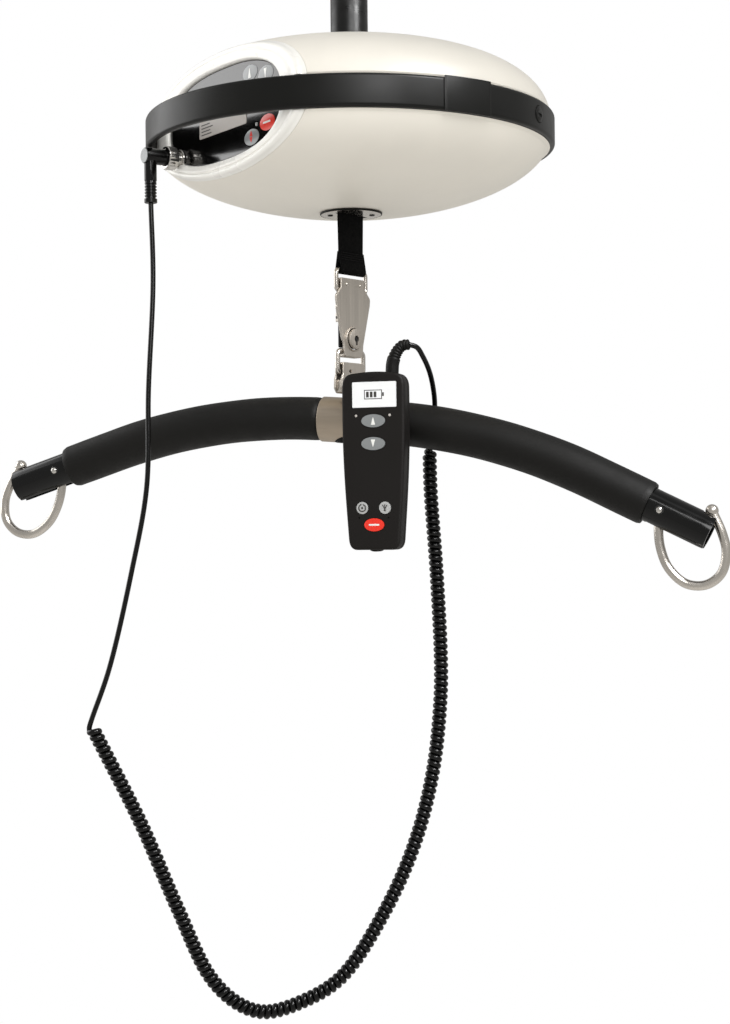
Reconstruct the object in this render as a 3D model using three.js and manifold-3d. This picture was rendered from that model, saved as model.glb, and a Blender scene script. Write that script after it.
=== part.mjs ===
// Ceiling-mounted patient lift hoist: lens-shaped housing with a drum drive, webbing strap,
// quick-release coupler, curved spreader bar with two sling hooks, and a corded hand control.
// Units are millimetres, +Z is up. The origin is the centre of the suspension tube's top face.
import * as THREE from 'three';
import { mergeVertices } from 'three/addons/utils/BufferGeometryUtils.js';
import Module from 'manifold-3d';

const wasm = await Module();
wasm.setup();

// ---------------------------------------------------------------- driving dimensions
const GAP = 0.3;                  // clearance between neighbouring pieces
const RING_Z = -170;              // bumper ring plane, below the tube's top face

const BODY_R = 177.5;             // housing radius at its rim
const BODY_TOP = 73;              // crown height above the rim
const BODY_BOTTOM = 69;           // bowl depth below the rim
const TOP_POWER = 2.6;            // superellipse powers of the crown and the bowl
const BOTTOM_POWER = 2.0;
const WALL = 3.5;                 // housing wall
const ROUND = 48;                 // facets round the large turned pieces

const RING_R = 180;               // bumper ring, outer radius
const RING_T = 6;
const RING_H = 27;

const FACET_DIST = 133;           // flat control facet, distance from the hoist axis
const FACET_YAW = -55;            // degrees; the facet faces the left front
const BEZEL_BACK = 126.3;
const PANEL = { a: 93.5, b: 39, z: 5, power: 2.5, front: 129.5, back: 126.5 };
const SOCKET = { x: -74, z: -20.8, r: 6.5 };
const PLUG = { r: 6.9, end: 33, drop: 27 };   // barrel radius, length from the facet, elbow place

const TUBE_R = 16.5;              // suspension tube
const TUBE_WALL = 4;

const STRAP_YAW = 50;             // degrees; the drum axis and the strap's width point this way
const STRAP_W = 35;
const STRAP_T = 1.6;
const DRUM = { y: 40, z: -8, core: 20, flange: 44, half: 21, wound: 38.6, shaft: 8 };
const GEAR = { module: 2.5, teeth: 32, pinion: 12, near: 33, far: 41 };
const CHASSIS = { inner: 24, outer: 28, top: 40 };

const UPPER_LINK = { half: 21, top: -119.5, bottom: -137, rod: 2 };
const LOWER_LINK = { half: 17.2, top: -189.5, bottom: -208.5, rod: 2.2 };
const SHEET = { front: -5.5, inner: -2.5 };   // coupler plate sheet, front and inner face
const BUTTON_Z = -179;
const LATCH = { y: 4.5, z: -160, half: 11, tip: -186.4, pin: 1.5 };
const SWIVEL_Z = -222;            // where the swivel axis crosses the hanger block

const BAR_YAW = -17;              // degrees
const BAR_ROLL = 4.5;             // degrees, the right-hand end hangs lower
const BAR_DROP = 28.4;            // bar centre below the hanger block
const BAR = { straight: 26, bend: 520, bendEnd: 226, end: 332.7, foamEnd: 273.4 };   // arc lengths, radius
const BAR_TUBE = { r: 15, bore: 12, foam: 19 };
const COLLAR = { r: 20, half: 26 };
const HOOK = { pin: 45, rod: 4, ball: 5.5, eye: 7, slot: 4.7, head: 3.3 };

const HANDSET = { s: 30, front: 44.5, t: 20.5, z: -288.4, wall: 2 };
const CORD_R = 2.25;
const COIL_R = 6;

// ---------------------------------------------------------------- materials
function material(color, roughness, metalness = 0) {
  return new THREE.MeshStandardMaterial({ color, roughness, metalness });
}
const shellWhite = material('#ece8df', 0.45);
const bezelWhite = material('#f8f7f2', 0.3);
const ringBlack = material('#171813', 0.4);
const panelGlass = material('#0c0d0d', 0.12);
const glossBlack = material('#0b0b0b', 0.25, 0.3);
const matteBlack = material('#191814', 0.7);
const webbingBlack = material('#0e0d0c', 0.9);
const steel = material('#9a8d81', 0.4, 0.9);
const chrome = material('#c9c7c2', 0.15, 1);
const greyKey = material('#828585', 0.35);
const redKey = material('#ff3c23', 0.35);
const displayWhite = material('#f2f3f2', 0.2);
const boardGreen = material('#1f5a36', 0.6);
const zinc = material('#b9bcbd', 0.45, 0.8);
const batteryBlue = material('#2c3440', 0.6);

// ---------------------------------------------------------------- helpers
const radians = THREE.MathUtils.degToRad;

function solid(geometry) {
  const bare = geometry.clone();
  bare.deleteAttribute('normal');
  bare.deleteAttribute('uv');
  const merged = mergeVertices(bare, 1e-4);
  const corner = merged.index.array;
  const kept = [];
  for (let i = 0; i < corner.length; i += 3) {
    const [a, b, c] = [corner[i], corner[i + 1], corner[i + 2]];
    if (a !== b && b !== c && a !== c) kept.push(a, b, c);
  }
  return new wasm.Manifold(new wasm.Mesh({
    numProp: 3,
    vertProperties: new Float32Array(merged.attributes.position.array),
    triVerts: new Uint32Array(kept),
  }));
}

function union(...geometries) {
  return geometries.map(solid).reduce((all, one) => all.add(one));
}

function cut(body, ...tools) {
  return tools.map(solid).reduce((left, tool) => left.subtract(tool), body);
}

function geometryOf(body) {
  const { vertProperties, triVerts } = body.getMesh();
  const geometry = new THREE.BufferGeometry();
  geometry.setAttribute('position', new THREE.BufferAttribute(vertProperties, 3));
  geometry.setIndex(new THREE.BufferAttribute(triVerts, 1));
  geometry.computeVertexNormals();
  return geometry;
}

// Adds one named piece to a group; the shape is a geometry or a cut solid.
function piece(group, name, shape, look) {
  const geometry = shape.isBufferGeometry ? shape : geometryOf(shape);
  const mesh = new THREE.Mesh(geometry, look);
  mesh.name = name;
  group.add(mesh);
  return mesh;
}

function frame(parent, { yaw = 0, roll = 0, x = 0, y = 0, z = 0 } = {}) {
  const turned = new THREE.Group();
  turned.position.set(x, y, z);
  turned.rotation.set(0, radians(roll), radians(yaw), 'ZYX');
  parent.add(turned);
  return turned;
}

function block(x0, x1, y0, y1, z0, z1) {
  const box = new THREE.BoxGeometry(x1 - x0, y1 - y0, z1 - z0);
  return box.translate((x0 + x1) / 2, (y0 + y1) / 2, (z0 + z1) / 2);
}

function rodX(radius, x0, x1, y, z, sides = 16) {
  const rod = new THREE.CylinderGeometry(radius, radius, x1 - x0, sides);
  return rod.rotateZ(Math.PI / 2).translate((x0 + x1) / 2, y, z);
}

function rodY(radius, y0, y1, x, z, sides = 16) {
  const rod = new THREE.CylinderGeometry(radius, radius, y1 - y0, sides);
  return rod.translate(x, (y0 + y1) / 2, z);
}

function rodZ(radius, z0, z1, x = 0, y = 0, sides = 20) {
  const rod = new THREE.CylinderGeometry(radius, radius, z1 - z0, sides);
  return rod.rotateX(Math.PI / 2).translate(x, y, (z0 + z1) / 2);
}

function tubeX(outer, bore, x0, x1, y, z, sides = 24) {
  return cut(solid(rodX(outer, x0, x1, y, z, sides)), rodX(bore, x0 - 1, x1 + 1, y, z, sides));
}

// Turned piece: a closed loop of [radius, height] points revolved about Z.
function turned(points, sides = ROUND) {
  const area = points.reduce((sum, [r, z], i) => {
    const [r2, z2] = points[(i + 1) % points.length];
    return sum + r * z2 - r2 * z;
  }, 0);
  const loop = area > 0 ? points : [...points].reverse();
  const profile = [...loop, loop[0]].map(([r, z]) => new THREE.Vector2(r, z));
  return new THREE.LatheGeometry(profile, sides).rotateX(Math.PI / 2);
}

// Plate whose outline lies in the XZ plane, from y0 (front) to y1 (back).
function plate(shape, y0, y1, curveSegments = 4) {
  const flat = new THREE.ExtrudeGeometry(shape, { depth: y1 - y0, bevelEnabled: false, curveSegments });
  return flat.rotateX(Math.PI / 2).translate(0, y1, 0);
}

// Profile in the YZ plane, extruded from x0 to x1.
function profileX(shape, x0, x1, curveSegments = 6) {
  const bar = new THREE.ExtrudeGeometry(shape, { depth: x1 - x0, bevelEnabled: false, curveSegments });
  return bar.rotateX(Math.PI / 2).rotateZ(Math.PI / 2).translate(x0, 0, 0);
}

function polygon(points) {
  return new THREE.Shape(points.map(([x, y]) => new THREE.Vector2(x, y)));
}

function superellipse(a, b, power, centre, count) {
  const points = [];
  for (let i = 0; i < count; i++) {
    const t = (2 * Math.PI * i) / count;
    const c = Math.cos(t);
    const s = Math.sin(t);
    const across = a * Math.sign(c) * Math.abs(c) ** (2 / power);
    const up = b * Math.sign(s) * Math.abs(s) ** (2 / power);
    points.push([across, centre + up]);
  }
  return polygon(points);
}

function circle(radius, holeRadius = 0) {
  const shape = new THREE.Shape().absarc(0, 0, radius, 0, 2 * Math.PI);
  if (holeRadius) shape.holes.push(new THREE.Path().absarc(0, 0, holeRadius, 0, 2 * Math.PI));
  return shape;
}

// Round bar or pipe along an open path.
function pipe(path, radius, steps, sides, bore = 0) {
  const options = { steps, extrudePath: path, bevelEnabled: false, curveSegments: sides };
  return new THREE.ExtrudeGeometry(circle(radius, bore), options);
}

function spline(points) {
  return new THREE.CatmullRomCurve3(points.map((p) => new THREE.Vector3(...p)), false, 'centripetal');
}

// Closed link bent from round rod: a rounded rectangle in the XZ plane.
function rodLink({ half, top, bottom, rod }, corner = 4, sides = 8) {
  const centres = [[half, top], [-half, top], [-half, bottom], [half, bottom]];
  const points = [];
  centres.forEach(([x, z], quarter) => {
    const cx = x - Math.sign(x) * corner;
    const cz = z === top ? z - corner : z + corner;
    for (let i = 0; i <= 3; i++) {
      const angle = (quarter + i / 3) * (Math.PI / 2);
      points.push([cx + corner * Math.cos(angle), cz + corner * Math.sin(angle), angle]);
    }
  });
  const vertices = [];
  const index = [];
  points.forEach(([x, z, angle], i) => {
    for (let j = 0; j < sides; j++) {
      const around = (2 * Math.PI * j) / sides;
      const out = rod * Math.cos(around);
      vertices.push(x + out * Math.cos(angle), rod * Math.sin(around), z + out * Math.sin(angle));
      const [a, b] = [i * sides + j, i * sides + ((j + 1) % sides)];
      const next = ((i + 1) % points.length) * sides;
      const [c, d] = [next + j, next + ((j + 1) % sides)];
      index.push(a, b, c, b, d, c);
    }
  });
  const geometry = new THREE.BufferGeometry();
  geometry.setAttribute('position', new THREE.Float32BufferAttribute(vertices, 3));
  geometry.setIndex(index);
  geometry.computeVertexNormals();
  return geometry;
}

// ---------------------------------------------------------------- housing
// Points of a superellipse arc from radius r0 on the rim side to r1 near the axis.
function bowlArc(rim, height, power, r1, count) {
  const end = Math.acos((r1 / rim) ** (power / 2));
  const points = [];
  for (let i = 0; i <= count; i++) {
    const t = (end * i) / count;
    points.push([rim * Math.cos(t) ** (2 / power), height * Math.sin(t) ** (2 / power)]);
  }
  return points;
}

function halfShell(height, power, hole, side) {
  const seam = GAP / 2;
  const lift = ([r, z]) => [r, side * Math.max(z, seam)];
  const outer = bowlArc(BODY_R, height, power, hole, 7).map(lift);
  const inner = bowlArc(BODY_R - 2 * WALL, height - WALL, power, hole, 4).map(lift);
  return turned([...outer, ...inner.reverse()]);
}

function solidBody() {
  const crown = bowlArc(BODY_R, BODY_TOP, TOP_POWER, 1, 9);
  const bowl = bowlArc(BODY_R, BODY_BOTTOM, BOTTOM_POWER, 1, 9).map(([r, z]) => [r, -z]);
  return turned([[0, BODY_TOP], ...crown.reverse(), ...bowl.slice(1), [0, -BODY_BOTTOM]]);
}

// Channel that the bumper ring sits in.
function ringChannel() {
  const [inner, outer, half] = [RING_R - RING_T - 0.4, RING_R + 20, RING_H / 2 + 0.4];
  return turned([[inner, -half], [outer, -half], [outer, half], [inner, half]]);
}

function inFacetFrame(geometry) {
  return geometry.rotateZ(radians(FACET_YAW));
}

function panelOutline(inset) {
  return superellipse(PANEL.a - inset, PANEL.b - inset, PANEL.power, PANEL.z, 32);
}

function buildHousing(hoist) {
  const beyondFacet = inFacetFrame(block(-200, 200, -260, -BEZEL_BACK + GAP, -100, 100));
  const upper = halfShell(BODY_TOP, TOP_POWER, TUBE_R + 0.7, 1);
  piece(hoist, 'upper_shell', cut(solid(upper), ringChannel(), beyondFacet), shellWhite);
  const lower = halfShell(BODY_BOTTOM, BOTTOM_POWER, 24, -1);
  piece(hoist, 'lower_shell', cut(solid(lower), ringChannel(), beyondFacet), shellWhite);

  const slab = inFacetFrame(block(-200, 200, -FACET_DIST - 2, -BEZEL_BACK, -100, 100));
  const opening = inFacetFrame(plate(panelOutline(0), -200, -100));
  const socketHole = inFacetFrame(rodY(SOCKET.r + GAP, -200, -100, SOCKET.x, SOCKET.z));
  const bezel = solid(solidBody()).intersect(solid(slab));
  piece(hoist, 'panel_bezel', cut(bezel, opening, ringChannel(), socketHole), bezelWhite);
}

function buildBumperRing(hoist) {
  const [inner, outer, half] = [RING_R - RING_T, RING_R, RING_H / 2];
  const profile = [
    [inner, -half + 1.5], [inner + 1.5, -half], [outer - 2, -half], [outer, -half + 3],
    [outer, half - 3], [outer - 2, half], [inner + 1.5, half], [inner, half - 1.5],
  ];
  const capYaw = 62;
  const capSeat = rodY(7.4, -RING_R - 5, -RING_R + RING_T + 2, 0, 0).rotateZ(radians(capYaw));
  piece(hoist, 'bumper_ring', cut(solid(turned(profile)), capSeat), ringBlack);
  const cap = frame(hoist, { yaw: capYaw });
  piece(cap, 'ring_screw_cap', rodY(7, -RING_R - 0.8, -RING_R + RING_T - 0.2, 0, 0), ringBlack);

  const cover = new THREE.Shape();
  const [start, sweep] = [radians(-90 + 25), radians(14.5)];
  cover.absarc(0, 0, RING_R + 1.5, start, start + sweep, false);
  cover.absarc(0, 0, RING_R + 0.5, start + sweep, start, true);
  const depth = RING_H + 1.5;
  const strip = new THREE.ExtrudeGeometry(cover, { depth, bevelEnabled: false, curveSegments: 6 });
  piece(hoist, 'ring_joint_cover', strip.translate(0, 0, -depth / 2), ringBlack);
}

// ---------------------------------------------------------------- control panel on the facet
const PANEL_KEYS = [
  { name: 'panel_up_key', x: 43, z: 31, look: greyKey },
  { name: 'panel_down_key', x: 67.5, z: 25.5, look: greyKey },
  { name: 'panel_lowering_key', x: 44.5, z: -22.5, look: greyKey },
  { name: 'panel_stop_key', x: 69, z: -14.5, look: redKey },
];
const PANEL_KEY = { a: 11.5, b: 6.6, front: 130.9, back: 127 };

function oval(a, b, x, z, y0, y1, count = 16) {
  return plate(superellipse(a, b, 2, 0, count), y0, y1).translate(x, 0, z);
}

function buildControlPanel(hoist) {
  const facet = frame(hoist, { yaw: FACET_YAW });
  const face = plate(panelOutline(0.4), -PANEL.front, -PANEL.back);
  const keyHoles = PANEL_KEYS.map(({ x, z }) =>
    oval(PANEL_KEY.a + GAP, PANEL_KEY.b + GAP, x, z, -PANEL.front - 1, -PANEL.back + 1));
  const socketHole = rodY(SOCKET.r + GAP, -140, -120, SOCKET.x, SOCKET.z);
  piece(facet, 'control_panel', cut(solid(face), ...keyHoles, socketHole), panelGlass);
  for (const { name, x, z, look } of PANEL_KEYS) {
    piece(facet, name, oval(PANEL_KEY.a, PANEL_KEY.b, x, z, -PANEL_KEY.front, -PANEL_KEY.back), look);
  }
  buildSocketAndPlug(facet);
  const board = block(-62, 62, -120.5, -118.9, -24, 30);
  const relays = [block(-40, -16, -118.9, -106, -14, 6), block(0, 18, -118.9, -108, -12, 12)];
  piece(facet, 'circuit_board', union(board, ...relays), boardGreen);
}

function buildSocketAndPlug(facet) {
  const { x, z, r } = SOCKET;
  const nut = { front: -FACET_DIST - 13, back: -FACET_DIST - 3, r: 10, bore: 7.3 };
  const barrelEnd = -FACET_DIST - PLUG.end;
  piece(facet, 'control_socket', rodY(r, nut.back - 0.2, -PANEL.back + 2, x, z), chrome);
  const knurls = superellipse(nut.r, nut.r, 2, 0, 24);
  const ring = solid(plate(knurls, nut.front, nut.back - 0.5).translate(x, 0, z));
  piece(facet, 'plug_nut', cut(ring, rodY(nut.bore, -200, -100, x, z)), chrome);

  const elbowY = -FACET_DIST - PLUG.drop;
  const barrel = rodY(PLUG.r, barrelEnd, nut.back - 0.5, x, z, 14);
  const sleeve = rodZ(5.4, z - 22, z, x, elbowY, 12);
  const boot = rodZ(4.6, z - 38, z - 21, x, elbowY, 12);
  const foot = rodZ(5.6, z - 41, z - 37, x, elbowY, 12);
  piece(facet, 'control_plug', union(barrel, sleeve, boot, foot), matteBlack);
}

// ---------------------------------------------------------------- suspension tube and chassis
function buildSuspension(hoist) {
  const top = -RING_Z;
  const bore = TUBE_R - TUBE_WALL;
  const foot = CHASSIS.top + 12 + GAP;
  const tube = cut(solid(rodZ(TUBE_R, foot, top)), rodZ(bore, foot - 1, top - 20));
  piece(hoist, 'suspension_tube', tube, glossBlack);

  const drive = frame(hoist, { yaw: STRAP_YAW });
  const cross = block(-CHASSIS.outer, CHASSIS.outer, -40, 80, CHASSIS.top + GAP, CHASSIS.top + 6);
  const flange = rodZ(28, CHASSIS.top + 5, CHASSIS.top + 12);
  const spigot = rodZ(bore - 0.5, CHASSIS.top + 11, CHASSIS.top + 45);
  piece(drive, 'chassis_cross_plate', union(cross, flange, spigot), zinc);
  return drive;
}

function chassisPlate(x0, x1) {
  const sheet = profileX(polygon([
    [-45, -30], [-25, -56], [66, -56], [86, -36], [86, 30], [76, CHASSIS.top], [-45, CHASSIS.top],
  ]), x0, x1);
  return cut(solid(sheet), rodX(DRUM.shaft + 0.4, x0 - 1, x1 + 1, DRUM.y, DRUM.z));
}

function gearTooth(angle, pitch, { teeth, backlash, addendum, dedendum }) {
  const base = pitch * Math.cos(radians(20));
  const involute = (r) => {
    const t = Math.sqrt(Math.max(0, (r / base) ** 2 - 1));
    return t - Math.atan(t);
  };
  const half = Math.PI / (2 * teeth) - backlash / (2 * pitch);
  const tip = pitch + addendum;
  const root = pitch - dedendum;
  const radii = [root, Math.max(base, root + 0.2), pitch, tip];
  const flank = radii.map((r) => [r, half + involute(pitch) - involute(r)]);
  const left = flank.map(([r, a]) => [r, angle - a]);
  const right = flank.reverse().map(([r, a]) => [r, angle + a]);
  return [...left, ...right].map(([r, a]) => [r * Math.cos(a), r * Math.sin(a)]);
}

// Spur gear outline in the YZ plane, centred on the origin; the first tooth or gap points along +Y.
function gearShape(teeth, phase) {
  const sizes = { teeth, backlash: 0.35, addendum: 0.78 * GEAR.module, dedendum: 1.3 * GEAR.module };
  const points = [];
  for (let i = 0; i < teeth; i++) {
    points.push(...gearTooth(phase + (2 * Math.PI * i) / teeth, (GEAR.module * teeth) / 2, sizes));
  }
  return polygon(points);
}

const GEAR_CENTRES = (GEAR.module * (GEAR.teeth + GEAR.pinion)) / 2 + 0.2;

function buildDrive(drive) {
  const { y, z } = DRUM;
  piece(drive, 'chassis_plate_left', chassisPlate(-CHASSIS.outer, -CHASSIS.inner), zinc);
  piece(drive, 'chassis_plate_right', chassisPlate(CHASSIS.inner, CHASSIS.outer), zinc);

  const reel = union(
    rodX(DRUM.flange, -DRUM.half, -DRUM.half + 2.5, y, z, 32),
    rodX(DRUM.flange, DRUM.half - 2.5, DRUM.half, y, z, 32),
    rodX(DRUM.core, -DRUM.half, DRUM.half, y, z, 24),
  );
  piece(drive, 'strap_drum', cut(reel, rodX(DRUM.shaft + GAP, -60, 60, y, z)), zinc);
  const roll = tubeX(DRUM.wound, DRUM.core + 0.6, -STRAP_W / 2, STRAP_W / 2, y, z, 32);
  piece(drive, 'wound_webbing', roll, webbingBlack);
  piece(drive, 'drum_shaft', rodX(DRUM.shaft, -31, GEAR.far + 1, y, z), steel);
  const gear = profileX(gearShape(GEAR.teeth, 0), GEAR.near, GEAR.far).translate(0, y, z);
  piece(drive, 'drum_gear', cut(solid(gear), rodX(DRUM.shaft + GAP, 0, 60, y, z)), steel);

  const pinionY = y - GEAR_CENTRES;
  const teeth = profileX(gearShape(GEAR.pinion, Math.PI / GEAR.pinion), GEAR.near - 1, GEAR.far + 1);
  const pinionShaft = rodX(5, GEAR.near - 1, 55, 0, 0, 12);
  piece(drive, 'drive_pinion', union(teeth, pinionShaft).translate([0, pinionY, z]), steel);

  const bracket = union(
    block(45, 49, -40, 6, -38, 24),
    rodX(4, CHASSIS.outer + GAP, 46, -35, 18, 10),
    rodX(4, CHASSIS.outer + GAP, 46, -35, -32, 10),
  );
  piece(drive, 'motor_bracket', cut(bracket, rodX(5.5, 40, 60, pinionY, z)), zinc);
  const gearbox = solid(rodX(20, 49.3, 80, pinionY, z, 24));
  piece(drive, 'gearbox', cut(gearbox, rodX(5.5, 48, 57, pinionY, z, 12)), steel);
  piece(drive, 'drive_motor', rodX(22, 80.3, 138, pinionY, z, 24), glossBlack);
  piece(drive, 'battery_pack', block(-50, 50, 98, 140, -24, 24), batteryBlue);
}

function buildStrap(drive) {
  const outlet = union(rodZ(27.5, -71.2, -68.9, 0, 0, 32), rodZ(23, -70, -61));
  const slot = block(-STRAP_W / 2 - 1.3, STRAP_W / 2 + 1.3, -3, 3, -80, -50);
  piece(drive, 'strap_outlet', cut(outlet, slot), matteBlack);

  const w = STRAP_W / 2;
  const { top, rod } = UPPER_LINK;
  const webbing = union(
    block(-w, w, -STRAP_T / 2, STRAP_T / 2, top, DRUM.z),
    block(-w, w, -STRAP_T, STRAP_T, top, top + 34),
    rodX(rod + 0.4 + STRAP_T, -w, w, 0, top),
  );
  piece(drive, 'lift_strap', cut(webbing, rodX(rod + 0.4, -60, 60, 0, top)), webbingBlack);
}

// ---------------------------------------------------------------- quick-release coupler
function mirrored(points) {
  return polygon([...points, ...points.map(([x, z]) => [-x, z]).reverse()]);
}

function buildCoupler(drive) {
  piece(drive, 'upper_link', rodLink(UPPER_LINK), steel);
  const { front, inner } = SHEET;
  const foot = LOWER_LINK.top - LOWER_LINK.rod - GAP;
  const face = plate(mirrored([
    [16.5, -127], [17.5, -128], [17.5, -140], [22.5, -141.5], [23.5, -146], [13, -184],
    [12.2, foot - 1.5], [10.5, foot - 3],
  ]), front, inner);
  const topFold = block(-17.5, 17.5, inner - 1, -front, -130, -127);
  const backSheet = block(-17.5, 17.5, -inner, -front, -146, -127.5);
  const hookFloor = block(-10.5, 10.5, inner - 1, -front, foot - 3, foot);
  const hookLip = block(-10.5, 10.5, 3, -front, foot - 3, foot + 4.5);
  const lugs = [-14, 12].map((x) => block(x, x + 2, inner - 0.5, 7, LATCH.z - 4, LATCH.z + 4));
  const body = union(face, topFold, backSheet, hookFloor, hookLip, ...lugs);
  const stemHole = rodY(3.4, -20, 2, 0, BUTTON_Z);
  const pinHole = rodX(LATCH.pin + 0.4, -20, 20, LATCH.y, LATCH.z, 12);
  piece(drive, 'coupler_plate', cut(body, stemHole, pinHole), steel);

  const button = union(rodY(9, -12.4, -9.9, 0, BUTTON_Z, 20), rodY(3, -10, 2.2, 0, BUTTON_Z, 12));
  piece(drive, 'release_button', button, steel);
  const blade = block(-LATCH.half, LATCH.half, 3, 6, LATCH.tip, LATCH.z + 2);
  const hingePin = rodX(LATCH.pin, -14.5, 14.5, LATCH.y, LATCH.z, 12);
  piece(drive, 'latch_tongue', union(blade, hingePin), matteBlack);
}

function buildHanger(drive) {
  piece(drive, 'lower_link', rodLink(LOWER_LINK), steel);
  const outline = () => mirrored([
    [12.5, -200], [13.5, -201], [13.5, -212], [20, -214], [22, -217], [22, -224.5], [19.5, -227],
  ]);
  const body = union(
    plate(outline(), -6.5, -3.5),
    plate(outline(), 3.5, 6.5),
    block(-12.5, 12.5, -6, 6, -203, -200),
    block(-19.5, 19.5, -6, 6, -226.9, -217),
  );
  piece(drive, 'swivel_plate', cut(body, rodZ(4.9, -240, -212)), steel);
}

// ---------------------------------------------------------------- spreader bar
// Centreline of the bar at signed arc length s, in the bar's own frame (x along, z up).
function barPoint(s) {
  const along = Math.abs(s);
  const bend = (Math.min(Math.max(along, BAR.straight), BAR.bendEnd) - BAR.straight) / BAR.bend;
  const start = Math.min(along, BAR.straight);
  const rest = Math.max(along - BAR.bendEnd, 0);
  const x = start + BAR.bend * Math.sin(bend) + rest * Math.cos(bend);
  const z = BAR.bend * (Math.cos(bend) - 1) - rest * Math.sin(bend);
  return new THREE.Vector3(Math.sign(s) * x, 0, z);
}

class BarCurve extends THREE.Curve {
  constructor(from, to) {
    super();
    this.from = from;
    this.to = to;
  }

  getPoint(t, target = new THREE.Vector3()) {
    return target.copy(barPoint(this.from + (this.to - this.from) * t));
  }
}

const END_SLOPE = (BAR.bendEnd - BAR.straight) / BAR.bend;   // radians below the bar's own x axis

// Moves a geometry built at the right-hand tube end (x outward, z across) to either end.
function atEnd(geometry, side) {
  const tip = barPoint(BAR.end);
  geometry.rotateY(END_SLOPE).translate(tip.x, 0, tip.z);
  return side > 0 ? geometry : geometry.rotateZ(Math.PI);
}

function buildHook() {
  const path = spline([
    [-HOOK.pin + 1, 0, -3], [-40.5, 0, -15], [-31.5, 0, -29.5], [-18, 0, -41.5], [0.5, 0, -46.5],
    [15.5, 0, -40], [22.6, 0, -26], [18.5, 0, -8], [8.8, 0, 4.3], [-6, 0, 17],
  ]);
  const ball = new THREE.SphereGeometry(HOOK.ball, 12, 8).translate(-7, 0, 17.7);
  const eye = rodY(HOOK.eye, -3.8, 3.8, -HOOK.pin, 0);
  const body = union(pipe(path, HOOK.rod, 22, 5), ball, eye);
  return geometryOf(cut(body, rodY(3, -10, 10, -HOOK.pin, 0)));
}

function slotTools(side) {
  const { slot, pin } = HOOK;
  return [
    block(-pin - 8, 2, -slot, slot, -BAR_TUBE.r - 2, 0),
    block(-13, 2, -slot, slot, -1, BAR_TUBE.r + 2),
    rodY(2.9, -BAR_TUBE.r - 5, BAR_TUBE.r + 5, -pin, 0, 12),
  ].map((tool) => atEnd(tool, side));
}

function pivotPin() {
  const thick = 1.5;
  const seat = BAR_TUBE.r + 0.4;
  const heads = [-seat - thick, seat].map((y) => rodY(HOOK.head, y, y + thick, -HOOK.pin, 0, 12));
  return geometryOf(union(rodY(2.6, -seat - 0.1, seat + 0.1, -HOOK.pin, 0, 12), ...heads));
}

function buildBar(hoist) {
  const pivot = frame(hoist, { yaw: BAR_YAW, roll: BAR_ROLL, z: SWIVEL_Z });
  const bar = frame(pivot, { z: -BAR_DROP });
  const pipeBody = solid(pipe(new BarCurve(-BAR.end, BAR.end), BAR_TUBE.r, 24, 8, BAR_TUBE.bore));
  const boltHole = rodZ(4.6, 0, 30);
  const accessHole = rodZ(9, -30, 0);
  piece(bar, 'bar_tube', cut(pipeBody, ...slotTools(1), ...slotTools(-1), boltHole, accessHole), glossBlack);
  const collar = tubeX(COLLAR.r, BAR_TUBE.r + 0.4, -COLLAR.half, COLLAR.half, 0, 0, 32);
  piece(bar, 'bar_collar', cut(collar, boltHole, rodZ(13, -30, 0)), steel);
  piece(bar, 'collar_plug', rodZ(12.6, -20.2, -15.5), matteBlack);

  const foamStart = COLLAR.half + GAP;
  for (const [name, side] of [['foam_sleeve_left', -1], ['foam_sleeve_right', 1]]) {
    const path = new BarCurve(side * foamStart, side * BAR.foamEnd);
    piece(bar, name, pipe(path, BAR_TUBE.foam, 8, 8, BAR_TUBE.r + 0.7), matteBlack);
  }
  for (const [name, side] of [['left', -1], ['right', 1]]) {
    piece(bar, `sling_hook_${name}`, atEnd(buildHook(), side), steel);
    piece(bar, `hook_pin_${name}`, atEnd(pivotPin(), side), chrome);
  }
  const bolt = union(rodZ(8, 2, 8), rodZ(4, 7, BAR_DROP + 4, 0, 0, 16));
  piece(bar, 'swivel_bolt', bolt, steel);
}

// ---------------------------------------------------------------- hand control
const HAND_KEYS = [
  { name: 'handset_up_key', z: 34.5, a: 11.2, b: 5.8, x: 0, look: greyKey },
  { name: 'handset_down_key', z: 15, a: 11.2, b: 5.8, x: 0, look: greyKey },
  { name: 'handset_light_key', z: -40, a: 5.6, b: 5.6, x: -10.3, look: greyKey },
  { name: 'handset_return_key', z: -40, a: 5.6, b: 5.6, x: 10.3, look: greyKey },
  { name: 'handset_stop_key', z: -54.5, a: 9.5, b: 5.9, x: 0, look: redKey },
];
const DISPLAY = { half: 19.5, z: 57, tall: 22 };

function handsetOutline(inset = 0) {
  const [wide, low, top, base] = [26.5 - inset, 21.5 - inset, 75.5 - inset, -76 + inset];
  const shape = new THREE.Shape();
  shape.moveTo(-low + 7, base);
  shape.lineTo(low - 7, base);
  shape.quadraticCurveTo(low, base, low + 0.8, base + 9);
  shape.bezierCurveTo(low + 3, -35, wide, -5, wide, 40);
  shape.quadraticCurveTo(wide - 0.3, top - 2, wide - 8, top);
  shape.quadraticCurveTo(0, top + 2.5, -wide + 8, top);
  shape.quadraticCurveTo(-wide + 0.3, top - 2, -wide, 40);
  shape.bezierCurveTo(-wide, -5, -low - 3, -35, -low - 0.8, base + 9);
  shape.quadraticCurveTo(-low, base, -low + 7, base);
  return shape;
}

function displayBlock(grow, y0, y1) {
  const half = DISPLAY.half + grow;
  const rise = DISPLAY.tall / 2 + grow;
  return block(-half, half, y0, y1, DISPLAY.z - rise, DISPLAY.z + rise);
}

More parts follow.
